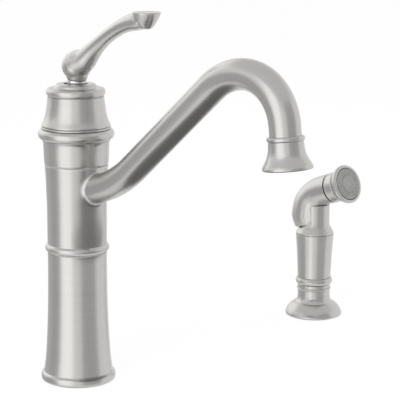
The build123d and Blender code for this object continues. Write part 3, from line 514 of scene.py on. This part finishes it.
# The tube is a circle carried along the centre line
def tubeTree():
    tree, start, end = newTree("spoutTube", [
        ("tubeRadius", "NodeSocketFloat", spout["tubeRadius"] * mm),
        ("around", "NodeSocketInt", spout["around"]),
    ])
    nodes = tree.nodes
    alongLine = nodes.new("GeometryNodeCaptureAttribute")
    alongLine.capture_items.new("FLOAT", "along")
    alongLine.domain = "POINT"
    lineLength = nodes.new("GeometryNodeSplineParameter")
    link(tree, start.outputs["Geometry"], alongLine.inputs["Geometry"])
    link(tree, lineLength.outputs["Length"], alongLine.inputs["along"])
    ring = nodes.new("GeometryNodeCurvePrimitiveCircle")
    link(tree, start.outputs["around"], ring.inputs["Resolution"])
    link(tree, start.outputs["tubeRadius"], ring.inputs["Radius"])
    aroundRing = nodes.new("GeometryNodeCaptureAttribute")
    aroundRing.capture_items.new("FLOAT", "aroundRing")
    ringLength = nodes.new("GeometryNodeSplineParameter")
    link(tree, ring.outputs["Curve"], aroundRing.inputs["Geometry"])
    link(tree, ringLength.outputs["Length"], aroundRing.inputs["aroundRing"])
    sweep = nodes.new("GeometryNodeCurveToMesh")
    sweep.inputs["Fill Caps"].default_value = True
    link(tree, alongLine.outputs["Geometry"], sweep.inputs["Curve"])
    link(tree, aroundRing.outputs["Geometry"], sweep.inputs["Profile Curve"])
    grain = nodes.new("ShaderNodeCombineXYZ")
    link(tree, alongLine.outputs["along"], grain.inputs["X"])
    link(tree, aroundRing.outputs["aroundRing"], grain.inputs["Z"])
    store = nodes.new("GeometryNodeStoreNamedAttribute")
    store.data_type = "FLOAT_VECTOR"
    store.inputs["Name"].default_value = "grain"
    link(tree, sweep.outputs["Mesh"], store.inputs["Geometry"])
    link(tree, grain.outputs["Vector"], store.inputs["Value"])
    paint = nodes.new("GeometryNodeSetMaterial")
    paint.inputs["Material"].default_value = satinNickel
    link(tree, store.outputs["Geometry"], paint.inputs["Geometry"])
    link(tree, paint.outputs["Geometry"], end.inputs["Geometry"])
    return tree


tubePoints = []
travel = spout["tubeStart"]
while travel < spoutLength:
    tubePoints.append(spoutPoint(travel)[0] * mm)
    travel += spout["tubeStep"]
tubePoints.append(spoutPoint(spoutLength)[0] * mm)
lineData = bpy.data.curves.new("spoutLine", "CURVE")
lineData.dimensions = "3D"
spline = lineData.splines.new("POLY")
spline.points.add(len(tubePoints) - 1)
for point, place in zip(spline.points, tubePoints):
    point.co = (*place, 1)
spoutLine = bpy.data.objects.new("spoutLine", lineData)
scene.collection.objects.link(spoutLine)
spoutTube = runTree(spoutLine, tubeTree(), {}, "spoutTube")
spoutTube.data.shade_smooth()
spoutTube.data.set_sharp_from_angle(angle=math.radians(creaseAngle))
standIn(spoutTube, "spout", "spout_tube")

outletPoint, outletHeading = spoutPoint(spoutLength)
outletPlace = outletPoint - outletHeading * spout["ringBack"]      # middle of the trim ring
ringLoop = [
    (11.75, -1.7),
    *smoothRun([(13.1, -1.7), (13.72, -1.1), (13.9, 0), (13.72, 1.1), (13.1, 1.7)]),
    (11.75, 1.7),
]
outletRing = turnedPiece("outletRing", ringLoop, satinNickel, outletPlace, outletHeading)
standIn(outletRing, "spout", "spout_ring")

bell = {
    "flare": [
        (12.9, 2.3), (13.05, 4.5), (13.45, 8.4), (14.35, 12.1), (15.95, 15.5), (17.75, 18.7),
        (18.45, 20.3),
    ],
    "lip": [(18.6, 20.9), (18.45, 21.75), (17.7, 22.25), (16.9, 22.15), (16.2, 21.5)],
}
bellLoop = [
    (11.75, 1.75), (12.9, 1.75, 0.15), *smoothRun(bell["flare"]), *smoothRun(bell["lip"]),
    (15.5, 20.9), (12.9, 19.8), (12.05, 19.0), (12.05, 5.4), (10.3, 5.4), (10.3, 3.05),
    (11.75, 3.05),
]
outletBell = turnedPiece("outletBell", bellLoop, satinNickel, outletPlace, outletHeading)
standIn(outletBell, "spout", "spout_bell")
print("spout made")

# Lever
pivot = Vector((0, 0, 243.5))
lean = math.radians(8.0)
stemHeading = Vector((0, -math.sin(lean), math.cos(lean)))
stemLoop = [
    (0.0, -12.6),
    *smoothRun([(1.2, -12.3), (2.25, -11.3), (2.6, -10.0), (2.3, -8.8), (2.1, -8.2)]),
    (2.1, -3.6), (4.7, -3.5, 0.3), (4.7, 5.0), (8.05, 5.0, 0.5), (8.05, 8.7, 0.5), (5.5, 8.7),
    (5.5, 18.7, 0.6), (0.0, 18.7),
]
leverStem = turnedPiece("leverStem", stemLoop, brightNickel, pivot, stemHeading, 96)
standIn(leverStem, "lever", "lever_stem")

lever = {
    "ball": (1.3, 263.3, 12.15),       # forward, height, radius
    "arm": [                           # forward, height, half thickness, half width
        (5.0, 265.6, 11.4, 11.6), (12.1, 268.9, 9.3, 9.7), (16.8, 272.8, 8.15, 8.6),
        (21.1, 276.5, 7.25, 7.8), (25.3, 279.9, 6.6, 7.2), (29.4, 283.0, 6.15, 6.8),
        (33.5, 285.9, 5.8, 6.5), (37.4, 288.6, 5.65, 6.4), (41.8, 291.3, 5.6, 6.4),
        (46.5, 293.9, 5.6, 6.5), (51.3, 296.4, 5.75, 6.7), (56.5, 298.8, 5.95, 7.0),
        (61.9, 300.9, 6.3, 7.4), (68.5, 302.9, 6.8, 8.0), (76.0, 304.4, 7.2, 8.6),
        (82.0, 305.2, 6.4, 8.0),
    ],
    "padForward": 85.0,
    "bowl": [(0.0, 298.5), (3.4, 299.1), (6.2, 302.0), (8.8, 306.0), (10.4, 309.3), (11.2, 311.4)],
    "padTop": 312.0,
    "voxel": 0.00045, "softenFactor": 0.5, "softenPasses": 6, "sharpAngle": 60,
    "grainTilt": 0.3,
}


def addArm(bm, around=64):
    stations = smoothRun(lever["arm"], 4)
    rings = []
    for index, (forward, height, thick, wide) in enumerate(stations):
        before = stations[max(index - 1, 0)]
        after = stations[min(index + 1, len(stations) - 1)]
        heading = Vector((0, before[0] - after[0], after[1] - before[1])).normalized()
        up = Vector((0, heading.z, -heading.y))
        ring = []
        for k in range(around):
            angle = 2 * math.pi * k / around
            offset = Vector((wide * math.cos(angle), 0, 0)) + up * thick * math.sin(angle)
            ring.append(bm.verts.new(Vector((0, -forward, height)) + offset))
        rings.append(ring)
    for low, high in zip(rings, rings[1:]):
        for k in range(around):
            n = (k + 1) % around
            bm.faces.new((low[k], low[n], high[n], high[k]))
    bm.faces.new(rings[0])
    bm.faces.new(rings[-1])


def mergedCasting(name, bm, material):                   # one casting from overlapping solids
    piece = finishPiece(name, bm, material, lever["sharpAngle"])
    remesh = piece.modifiers.new("remesh", "REMESH")
    remesh.mode = "VOXEL"
    remesh.voxel_size = lever["voxel"]
    soften = piece.modifiers.new("soften", "SMOOTH")
    soften.factor = lever["softenFactor"]
    soften.iterations = lever["softenPasses"]
    evaluated = piece.evaluated_get(bpy.context.evaluated_depsgraph_get())
    mesh = bpy.data.meshes.new_from_object(evaluated)
    piece.modifiers.clear()
    piece.data = mesh
    mesh.shade_smooth()
    if not mesh.materials:
        mesh.materials.append(material)
    return piece


bm = bmesh.new()
addArm(bm)
ballForward, ballHeight, ballRadius = lever["ball"]
ballSteps = 24
ballLoop = [
    (ballRadius * math.sin(math.pi * k / ballSteps), -ballRadius * math.cos(math.pi * k / ballSteps))
    for k in range(1, ballSteps)
]
ballLoop = [(0.0, -ballRadius), *ballLoop, (0.0, ballRadius)]
addTurned(bm, ballLoop, (0, -ballForward, ballHeight), (0, 0, 1), 96)
skirtLoop = [(0.0, 9.0), (8.3, 9.0, 0.3), (8.5, 10.5), (9.2, 13.0), (9.2, 16.0), (0.0, 16.0)]
addTurned(bm, skirtLoop, pivot, stemHeading, 96)
bowlLoop = [
    *smoothRun(lever["bowl"]), (11.15, 311.75), (10.7, lever["padTop"] - 0.05),
    (10.2, lever["padTop"] - 0.1), (9.4, 311.75), (0.0, 311.7),
]
addTurned(bm, bowlLoop, (0, -lever["padForward"], 0), (0, 0, 1), 96)
leverCasting = mergedCasting("leverCasting", bm, satinNickel)
grain = leverCasting.data.attributes.new("grain", "FLOAT_VECTOR", "POINT")
for index, vert in enumerate(leverCasting.data.vertices):      # the lines run across the arm
    grain.data[index].vector = (vert.co.x, vert.co.z * lever["grainTilt"], vert.co.y)
standIn(leverCasting, "lever", "lever_handle")
print("lever made", len(leverCasting.data.polygons))

# Spray dock
sprayX = 295.0
sprayFoot = (sprayX, 0, 0)
dock = {
    "crown": [
        (25.9, 0.1), (26.6, 0.8), (26.88, 1.8), (26.4, 3.6), (25.0, 6.4), (22.8, 9.3), (20.0, 11.7),
        (18.3, 12.6),
    ],
    "rise": [(17.2, 13.4), (16.5, 14.4), (15.8, 15.9), (15.35, 17.6)],
    "top": 26.9,
    "bore": 13.2,
}
dockLoop = [
    (23.9, 0.0), *smoothRun(dock["crown"]), (17.5, 12.9, 0.15), *smoothRun(dock["rise"]),
    (15.3, 19.0), (15.3, 24.6), *smoothRun([(15.75, 24.9), (16.1, 25.6), (16.05, 26.3)]),
    (15.7, dock["top"], 0.2), (dock["bore"], dock["top"]), (dock["bore"], -45.0),
    (14.6, -45.0), (15.4, -44.2), (15.4, -31.5), (15.9, -31.0), (15.9, 2.2), (23.9, 2.2),
]
standIn(turnedPiece("dockFlange", dockLoop, satinNickel, sprayFoot), "faucet", "dock_flange")
linerLoop = [
    (11.6, -20.0), (13.1, -20.0), (13.1, 26.95), (15.5, 26.95, 0.2), (15.5, 30.1, 0.4),
    (11.6, 30.1, 0.5),
]
standIn(turnedPiece("dockLiner", linerLoop, satinNickel, sprayFoot), "faucet", "dock_liner")

# Side spray
capLoop = [
    (7.58, 31.5), (9.0, 30.4, 0.2),
    *smoothRun([(15.9, 30.4), (16.8, 31.3), (17.4, 33.3), (16.9, 35.3), (16.25, 36.6)]),
    (14.0, 36.6), (14.0, 44.0), (7.58, 44.0),
]
standIn(turnedPiece("wandCap", capLoop, satinNickel, sprayFoot), "wand", "wand_end_cap")

gripTaper = [
    (15.7, 37.2), (15.75, 41), (16.15, 50), (16.62, 60), (17.25, 69), (17.75, 75), (17.95, 78.4),
]
gripLoop = [
    (14.05, 36.65), (15.5, 36.65), *smoothRun(gripTaper), (17.8, 79.0, 0.25), (14.05, 79.0),
]
standIn(turnedPiece("wandGrip", gripLoop, satinNickel, sprayFoot), "wand", "wand_grip")

headHeight = 118.1
headRise = math.radians(19.4)
headPlace = Vector((sprayX, 0, headHeight))
headHeading = Vector((0, -math.cos(headRise), math.sin(headRise)))
neck = {
    "shoulder": [(17.9, 79.5), (17.85, 80.3), (17.45, 81.1), (17.0, 81.75)],
    "cone": [(16.75, 82.1), (15.7, 84.1), (14.5, 86.1), (13.85, 87.4), (13.6, 89.0)],
    "radius": 13.6,
    "top": 107.4,
    "core": 12.3,
    "coreMiddle": 101.5,
}
coreDome = [
    (neck["core"] * math.cos(math.radians(angle)),
     neck["coreMiddle"] + neck["core"] * math.sin(math.radians(angle)))
    for angle in range(40, 90, 10)
]
neckLoop = [
    (9.0, 70.0), (14.0, 70.0), (14.0, 79.05), (17.5, 79.05, 0.2), *smoothRun(neck["shoulder"]),
    *smoothRun(neck["cone"]), (neck["radius"], neck["top"], 0.5),
    (neck["core"] - 1, neck["top"] + 0.2), *coreDome, (0.0, neck["coreMiddle"] + neck["core"]),
    (0.0, 88.0), (9.0, 88.0),
]
barrelLoop = [(0.0, -6.4), (8.6, -6.4, 1.0), (8.6, 23.0), (0.0, 23.0)]
headLoop = [
    (0.0, 23.1), (13.15, 23.1),
    *smoothRun([(13.3, 23.15), (14.0, 23.85), (14.15, 24.4), (14.0, 25.2)]),
    *smoothRun([(13.9, 25.6), (14.1, 28.0), (14.3, 31.0), (14.55, 32.6)]), (14.2, 33.4, 0.2),
    (11.0, 33.5), (11.0, 39.5), (9.5, 39.5), (9.5, 28.5), (0.0, 28.5),
]
bm = bmesh.new()
addTurned(bm, neckLoop, sprayFoot)
addTurned(bm, barrelLoop, headPlace, headHeading, 96)
addTurned(bm, headLoop, headPlace, headHeading)
standIn(finishPiece("wandHead", bm, satinNickel), "wand", "wand_head")

bezelLoop = [
    (11.05, 33.6), (14.1, 33.6),
    *smoothRun([
        (14.3, 33.8), (15.4, 35.1), (16.6, 36.9), (17.5, 38.6), (18.0, 40.3), (17.85, 41.6),
        (17.1, 42.2),
    ]),
    (15.5, 42.3, 0.2), (14.75, 41.4, 0.3), (14.75, 39.7), (11.05, 37.6),
]
sprayBezel = turnedPiece("sprayBezel", bezelLoop, satinNickel, headPlace, headHeading)
standIn(sprayBezel, "wand", "spray_bezel")


# Rings of small nozzles, each a short cone topped by a flat dark disc, painted shade for its hole
nozzle = {
    "radius": 0.5,
    "height": 0.3,
    "base": 43.05,                     # where the cones stand, along the head
    "rings": ((9.6, 26), (11.2, 30), (12.8, 34)),        # radius and count
    "sides": 10,
    "topShare": 0.7, "mouthShare": 0.42, "mouthLift": 0.00002,
}


def nozzleTree():
    tree, start, end = newTree("nozzleRings", [
        ("ringRadius", "NodeSocketFloat", 0.0),
        ("count", "NodeSocketInt", 0),
        ("nozzleRadius", "NodeSocketFloat", nozzle["radius"] * mm),
        ("nozzleHeight", "NodeSocketFloat", nozzle["height"] * mm),
    ])
    nodes = tree.nodes
    ring = nodes.new("GeometryNodeMeshCircle")
    link(tree, start.outputs["count"], ring.inputs["Vertices"])
    link(tree, start.outputs["ringRadius"], ring.inputs["Radius"])
    cone = nodes.new("GeometryNodeMeshCone")
    cone.inputs["Vertices"].default_value = nozzle["sides"]
    topRadius = nodes.new("ShaderNodeMath")
    topRadius.operation = "MULTIPLY"
    topRadius.inputs[1].default_value = nozzle["topShare"]
    link(tree, start.outputs["nozzleRadius"], topRadius.inputs[0])
    link(tree, topRadius.outputs[0], cone.inputs["Radius Top"])
    link(tree, start.outputs["nozzleRadius"], cone.inputs["Radius Bottom"])
    link(tree, start.outputs["nozzleHeight"], cone.inputs["Depth"])
    paintCone = nodes.new("GeometryNodeSetMaterial")
    paintCone.inputs["Material"].default_value = sprayGrey
    link(tree, cone.outputs["Mesh"], paintCone.inputs["Geometry"])
    # a flat dark disc on each cone's top, painted shade for the nozzle's hole
    mouth = nodes.new("GeometryNodeMeshCircle")
    mouth.fill_type = "NGON"
    mouth.inputs["Vertices"].default_value = nozzle["sides"]
    mouthRadius = nodes.new("ShaderNodeMath")
    mouthRadius.operation = "MULTIPLY"
    mouthRadius.inputs[1].default_value = nozzle["mouthShare"]
    link(tree, start.outputs["nozzleRadius"], mouthRadius.inputs[0])
    link(tree, mouthRadius.outputs[0], mouth.inputs["Radius"])
    lift = nodes.new("GeometryNodeTransform")
    up = nodes.new("ShaderNodeCombineXYZ")
    lip = nodes.new("ShaderNodeMath")
    lip.operation = "ADD"
    lip.inputs[1].default_value = nozzle["mouthLift"]
    link(tree, start.outputs["nozzleHeight"], lip.inputs[0])
    link(tree, lip.outputs[0], up.inputs["Z"])
    link(tree, mouth.outputs["Mesh"], lift.inputs["Geometry"])
    link(tree, up.outputs["Vector"], lift.inputs["Translation"])
    paintHoleShade = nodes.new("GeometryNodeSetMaterial")
    paintHoleShade.inputs["Material"].default_value = paintedHoleShade
    link(tree, lift.outputs["Geometry"], paintHoleShade.inputs["Geometry"])
    oneNozzle = nodes.new("GeometryNodeJoinGeometry")
    link(tree, paintCone.outputs["Geometry"], oneNozzle.inputs["Geometry"])
    link(tree, paintHoleShade.outputs["Geometry"], oneNozzle.inputs["Geometry"])
    spread = nodes.new("GeometryNodeInstanceOnPoints")
    link(tree, ring.outputs["Mesh"], spread.inputs["Points"])
    link(tree, oneNozzle.outputs["Geometry"], spread.inputs["Instance"])
    real = nodes.new("GeometryNodeRealizeInstances")
    link(tree, spread.outputs["Instances"], real.inputs["Geometry"])
    link(tree, real.outputs["Geometry"], end.inputs["Geometry"])
    return tree


def nozzlesOn(name):
    tree = nozzleTree()
    joined = bmesh.new()
    for ringRadius, count in nozzle["rings"]:
        holder = bpy.data.objects.new("holder", bpy.data.meshes.new("holder"))
        scene.collection.objects.link(holder)
        part = runTree(holder, tree, {"ringRadius": ringRadius * mm, "count": count}, "part")
        materials = list(part.data.materials)
        joined.from_mesh(part.data)
        bpy.data.objects.remove(part)
    mesh = bpy.data.meshes.new(name)
    joined.to_mesh(mesh)
    joined.free()
    mesh.transform(frameAlong((headPlace + headHeading * nozzle["base"]) * mm, headHeading))
    for material in materials:
        mesh.materials.append(material)
    piece = bpy.data.objects.new(name, mesh)
    scene.collection.objects.link(piece)
    return piece


faceLoop = [(8.35, 39.6), (14.6, 39.6), (14.6, 42.2, 0.2), (13.75, 43.1, 0.25), (8.35, 43.1)]
sprayFace = turnedPiece("sprayFace", faceLoop, sprayGrey, headPlace, headHeading)
standIn(sprayFace, "wand", "spray_face")
faceNozzles = nozzlesOn("faceNozzles")
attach(faceNozzles, "wand")
centreLoop = [(0.0, 39.6), (8.25, 39.6), (8.25, 43.3, 0.2), (7.6, 43.85, 0.25), (0.0, 43.88)]
sprayCentre = turnedPiece("sprayCentre", centreLoop, sprayGrey, headPlace, headHeading)
standIn(sprayCentre, "wand", "spray_centre")
print("spray head made")

# Squeeze lever: a curved shell, open towards the neck
squeeze = {
    "wall": 1.8,
    "frontEdge": -5.0,                 # the shell ends here below the head
    "underEdge": 107.85,               # and its underside closes just above the neck
    "headTurn": 70.6,                  # heading of the shell at its end, in degrees
    "toeTurn": 0.0,
    "elbowHeight": 98.8, "elbowRadius": 24.0, "elbowBack": 6.5,
    "toe": [(84.8, 5.3, 15.0), (87.5, 5.7, 15.7), (91.0, 6.2, 16.6), (95.0, 6.5, 17.25)],
    "elbow": [(0.0, 17.25), (24.0, 16.3), (47.0, 14.7), (70.6, 13.9)],
    "end": (22.35, 13.95),             # distance along the head, and radius
    "neckRoom": 13.75, "edgeWall": 0.25, "flareTop": 92.0, "flareSlope": 0.08,
    "toeCut": 85.6, "toeCutRise": 3.3, "toeCutFrom": 9.0, "toeCutSlope": 0.35,
    "bevel": 0.4, "bevelFrom": 50, "sharpAngle": 40,
}


def shellStations():                   # centre, heading angle and radius along the shell
    line = []
    for height, back, radius in squeeze["toe"]:
        line.append((back, height, squeeze["toeTurn"], radius))
    for turn, radius in squeeze["elbow"]:
        angle = math.radians(turn)
        line.append((
            squeeze["elbowBack"] - squeeze["elbowRadius"] * (1 - math.cos(angle)),
            squeeze["elbowHeight"] + squeeze["elbowRadius"] * math.sin(angle), turn, radius,
        ))
    reach, radius = squeeze["end"]
    tip = headPlace + headHeading * reach
    line.append((tip.y, tip.z, squeeze["headTurn"], radius))
    return smoothRun(line, 6)


def shellLimit(y, z, turn, radius):    # how far the shell reaches round, as an angle
    limits = []
    for slope, level in (
        (math.cos(math.radians(turn)), squeeze["frontEdge"] - y),
        (math.sin(math.radians(turn)), squeeze["underEdge"] - z),
    ):
        reach = slope * radius
        limits.append(math.acos(max(-1.0, min(1.0, level / reach))) if reach > 1e-6 else 0.0)
    return max(limits)


def clearOfNeck(point, spare):         # the edge thins where the shell lies against the neck
    out = Vector((point.x - sprayX, point.y))
    flare = max(squeeze["flareTop"] - point.z, 0) * squeeze["flareSlope"]
    least = squeeze["neckRoom"] + spare + flare
    if point.z > neck["top"] or out.length > least:
        return point
    out = out.normalized() * least
    return Vector((sprayX + out.x, out.y, point.z))


def toeAt(height, line):               # centre and radius of the toe at a height
    for (y0, z0, _, radius0), (y1, z1, _, radius1) in zip(line, line[1:]):
        if height <= z1:
            share = (height - z0) / (z1 - z0)
            return y0 + (y1 - y0) * share, radius0 + (radius1 - radius0) * share
    return line[-1][0], line[-1][3]


def addShell(bm, around=72):
    grain = bm.verts.layers.float_vector.new("grain")
    line = shellStations()
    toeLow, toeHigh = squeeze["toe"][0][0], squeeze["toe"][-1][0]
    rows = []
    for y, z, turn, radius in line:
        out = Vector((0, math.cos(math.radians(turn)), math.sin(math.radians(turn))))
        side = Vector((1, 0, 0))
        limit = shellLimit(y, z, turn, radius - squeeze["wall"] / 2)
        outer, inner = [], []
        for k in range(around + 1):
            angle = limit * (2 * k / around - 1)
            ray = out * math.cos(angle) + side * math.sin(angle)
            centre, reach = Vector((sprayX, y, z)), radius
            if z < toeHigh:            # the toe is cut higher towards the front
                forward = max(squeeze["toeCutFrom"] - (centre + ray * reach).y, 0)
                rise = min(forward * squeeze["toeCutSlope"], squeeze["toeCutRise"])
                lift = squeeze["toeCut"] + rise
                height = lift + (z - toeLow) * (toeHigh - lift) / (toeHigh - toeLow)
                back, reach = toeAt(height, line)
                centre = Vector((sprayX, back, height))
            outer.append(clearOfNeck(centre + ray * reach, squeeze["edgeWall"]))
            inner.append(clearOfNeck(centre + ray * (reach - squeeze["wall"]), 0.0))
        rows.append(outer + inner[::-1])
    verts = [[bm.verts.new(p) for p in row] for row in rows]
    for row in verts:
        for vert in row:
            vert[grain] = vert.co
    count = len(verts[0])
    for low, high in zip(verts, verts[1:]):
        for k in range(count):
            n = (k + 1) % count
            bm.faces.new((low[k], low[n], high[n], high[k]))
    for row in (verts[0], verts[-1]):
        for k in range(around):
            bm.faces.new((row[k], row[k + 1], row[count - 2 - k], row[count - 1 - k]))


bm = bmesh.new()
addShell(bm)
squeezeShell = finishPiece("squeezeShell", bm, satinNickel, squeeze["sharpAngle"])
bevel = squeezeShell.modifiers.new("edges", "BEVEL")
bevel.width = squeeze["bevel"] * mm
bevel.segments = 3
bevel.limit_method = "ANGLE"
bevel.angle_limit = math.radians(squeeze["bevelFrom"])
standIn(squeezeShell, "squeeze_lever", "spray_lever")
print("squeeze lever made")

# Finishes of the CAD pieces
finishes = {
    "brushed_nickel": satinNickel, "bright_steel": brightNickel, "spray_grey": sprayGrey,
    "brass": machinedBrass, "copper": drawnCopper, "zinc_steel": zincSteel,
    "white_plastic": whitePlastic, "grey_plastic": greyPlastic, "ceramic": ceramicWhite,
    "black_rubber": blackRubber,
}
for entry in frame["record"]["subparts"]:
    node = frame["nodes"][entry["node"]]
    for materialSlot in node.material_slots:
        materialSlot.material = finishes[entry["material_slot"]]

# The diverter's spring, which shortens towards its fixed upper end as the poppet rises, gets a mesh of
# its own
springCoil = frame["nodes"]["diverter_spring"]
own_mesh(springCoil)

# Floor, world and lights
def stagePlane(name, size, place, turn, material):
    bpy.ops.mesh.primitive_plane_add(size=1, location=place, rotation=turn)
    plane = bpy.context.object
    plane.name = name
    plane.scale = (*size, 1)
    plane.data.materials.append(material)
    return plane


def seenDirectly(nodes, links):        # 1 for rays of the camera, off metal and through glass
    rays = addNode(nodes, "ShaderNodeLightPath")
    seen = addNode(nodes, "ShaderNodeMath", operation="MAXIMUM")
    links.new(rays.outputs["Is Camera Ray"], seen.inputs[0])
    links.new(rays.outputs["Is Glossy Ray"], seen.inputs[1])
    through = addNode(nodes, "ShaderNodeMath", operation="MAXIMUM")
    links.new(seen.outputs[0], through.inputs[0])
    links.new(rays.outputs["Is Transmission Ray"], through.inputs[1])
    return through.outputs[0]


stage = {
    "floorSize": 12, "floorDrop": 0.0002, "glow": 1.04, "glowShare": 0.86, "roomDim": 0.7,
    "cardDistance": 1.9,
}

floorMaterial, nodes, links, shader = newMaterial("floorWhite")
shader.inputs["Base Color"].default_value = (0.9, 0.9, 0.9, 1)
shader.inputs["Roughness"].default_value = 0.9
share = addNode(nodes, "ShaderNodeMath", operation="MULTIPLY")
share.inputs[1].default_value = stage["glowShare"]
links.new(seenDirectly(nodes, links), share.inputs[0])
whiteGlow = addNode(nodes, "ShaderNodeEmission", Strength=stage["glow"])
blend = addNode(nodes, "ShaderNodeMixShader")
links.new(share.outputs[0], blend.inputs[0])
links.new(shader.outputs[0], blend.inputs[1])
links.new(whiteGlow.outputs[0], blend.inputs[2])
links.new(blend.outputs[0], nodes["Material Output"].inputs["Surface"])
floor = stagePlane(
    "floor", (stage["floorSize"], stage["floorSize"]), (0, 0, -stage["floorDrop"]), (0, 0, 0),
    floorMaterial,
)
floor.visible_glossy = False           # the metal mirrors the white room and its cards instead

world = bpy.data.worlds.new("studio")
world.use_nodes = True
scene.world = world
nodes, links = world.node_tree.nodes, world.node_tree.links
nodes["Background"].inputs["Color"].default_value = (1, 1, 1, 1)
strength = addNode(nodes, "ShaderNodeMapRange")
strength.inputs["To Min"].default_value = stage["roomDim"]
strength.inputs["To Max"].default_value = 1.0
links.new(seenDirectly(nodes, links), strength.inputs["Value"])
links.new(strength.outputs["Result"], nodes["Background"].inputs["Strength"])

viewTurn = math.radians(-cameraSpec["turn"])
toCamera = Vector((-math.sin(viewTurn), -math.cos(viewTurn), 0))
toLeft = Vector((-math.cos(viewTurn), math.sin(viewTurn), 0))
objectMiddle = Vector((0.1, -0.05, 0.15))


def roundTheObject(angle, distance, height):     # the angle is in degrees, positive to the left
    turn = math.radians(angle)
    place = toCamera * math.cos(turn) * distance + toLeft * math.sin(turn) * distance
    return objectMiddle + place + Vector((0, 0, height - objectMiddle.z))


def aimed(place, target):
    return (target - place).to_track_quat("-Z", "Y").to_euler()


def softbox(name, angle, distance, height, size, power):
    data = bpy.data.lights.new(name, "AREA")
    data.shape = "RECTANGLE"
    data.size, data.size_y = size
    data.energy = power
    lamp = bpy.data.objects.new(name, data)
    lamp.location = roundTheObject(angle, distance, height)
    lamp.rotation_euler = aimed(lamp.location, objectMiddle)
    lamp.visible_glossy = False
    scene.collection.objects.link(lamp)


softbox("keyLeft", 38, 1.5, 0.5, (1.05, 1.8), 10)
softbox("fillRight", -120, 1.6, 0.5, (0.6, 1.8), 6)
softbox("top", 20, 1.6, 1.7, (1.0, 1.0), 8)


# Grey cards, seen only in the metal, shape the reflections as in a studio
def card(name, shade, size, place, turn):
    grey, nodes, links, shader = newMaterial(name)
    shader.inputs["Base Color"].default_value = (0, 0, 0, 1)
    shader.inputs["Emission Color"].default_value = (1, 1, 1, 1)
    shader.inputs["Emission Strength"].default_value = shade
    plane = stagePlane(name, size, place, turn, grey)
    plane.visible_camera = False
    plane.visible_diffuse = False
    plane.visible_shadow = False
    plane.visible_transmission = False
    grey.cycles.emission_sampling = "NONE"


def standingCard(name, shade, angle, height, size):
    place = roundTheObject(angle, stage["cardDistance"], height)
    card(name, shade, size, place, aimed(place, objectMiddle))


standingCard("cardBright", 1.5, 40, 0.2, (1.5, 2.8))
standingCard("cardRight", 0.5, -44, 0.2, (2.3, 2.8))
standingCard("cardLeft", 0.5, 90, -0.3, (1.45, 1.8))
standingCard("cardLeftLow", 0.6, 131, -0.55, (1.35, 1.1))
standingCard("cardBack", 1.35, 138, 0.95, (1.8, 1.4))
card("cardLow", 0.15, (0.24, 0.28), (0.02, -0.19, 0.1), (0, 0, 0))
card("cardTop", 0.75, (4.6, 4.6), (0.1, -0.05, 1.9), (math.pi, 0, 0))

scene.view_settings.view_transform = "Standard"
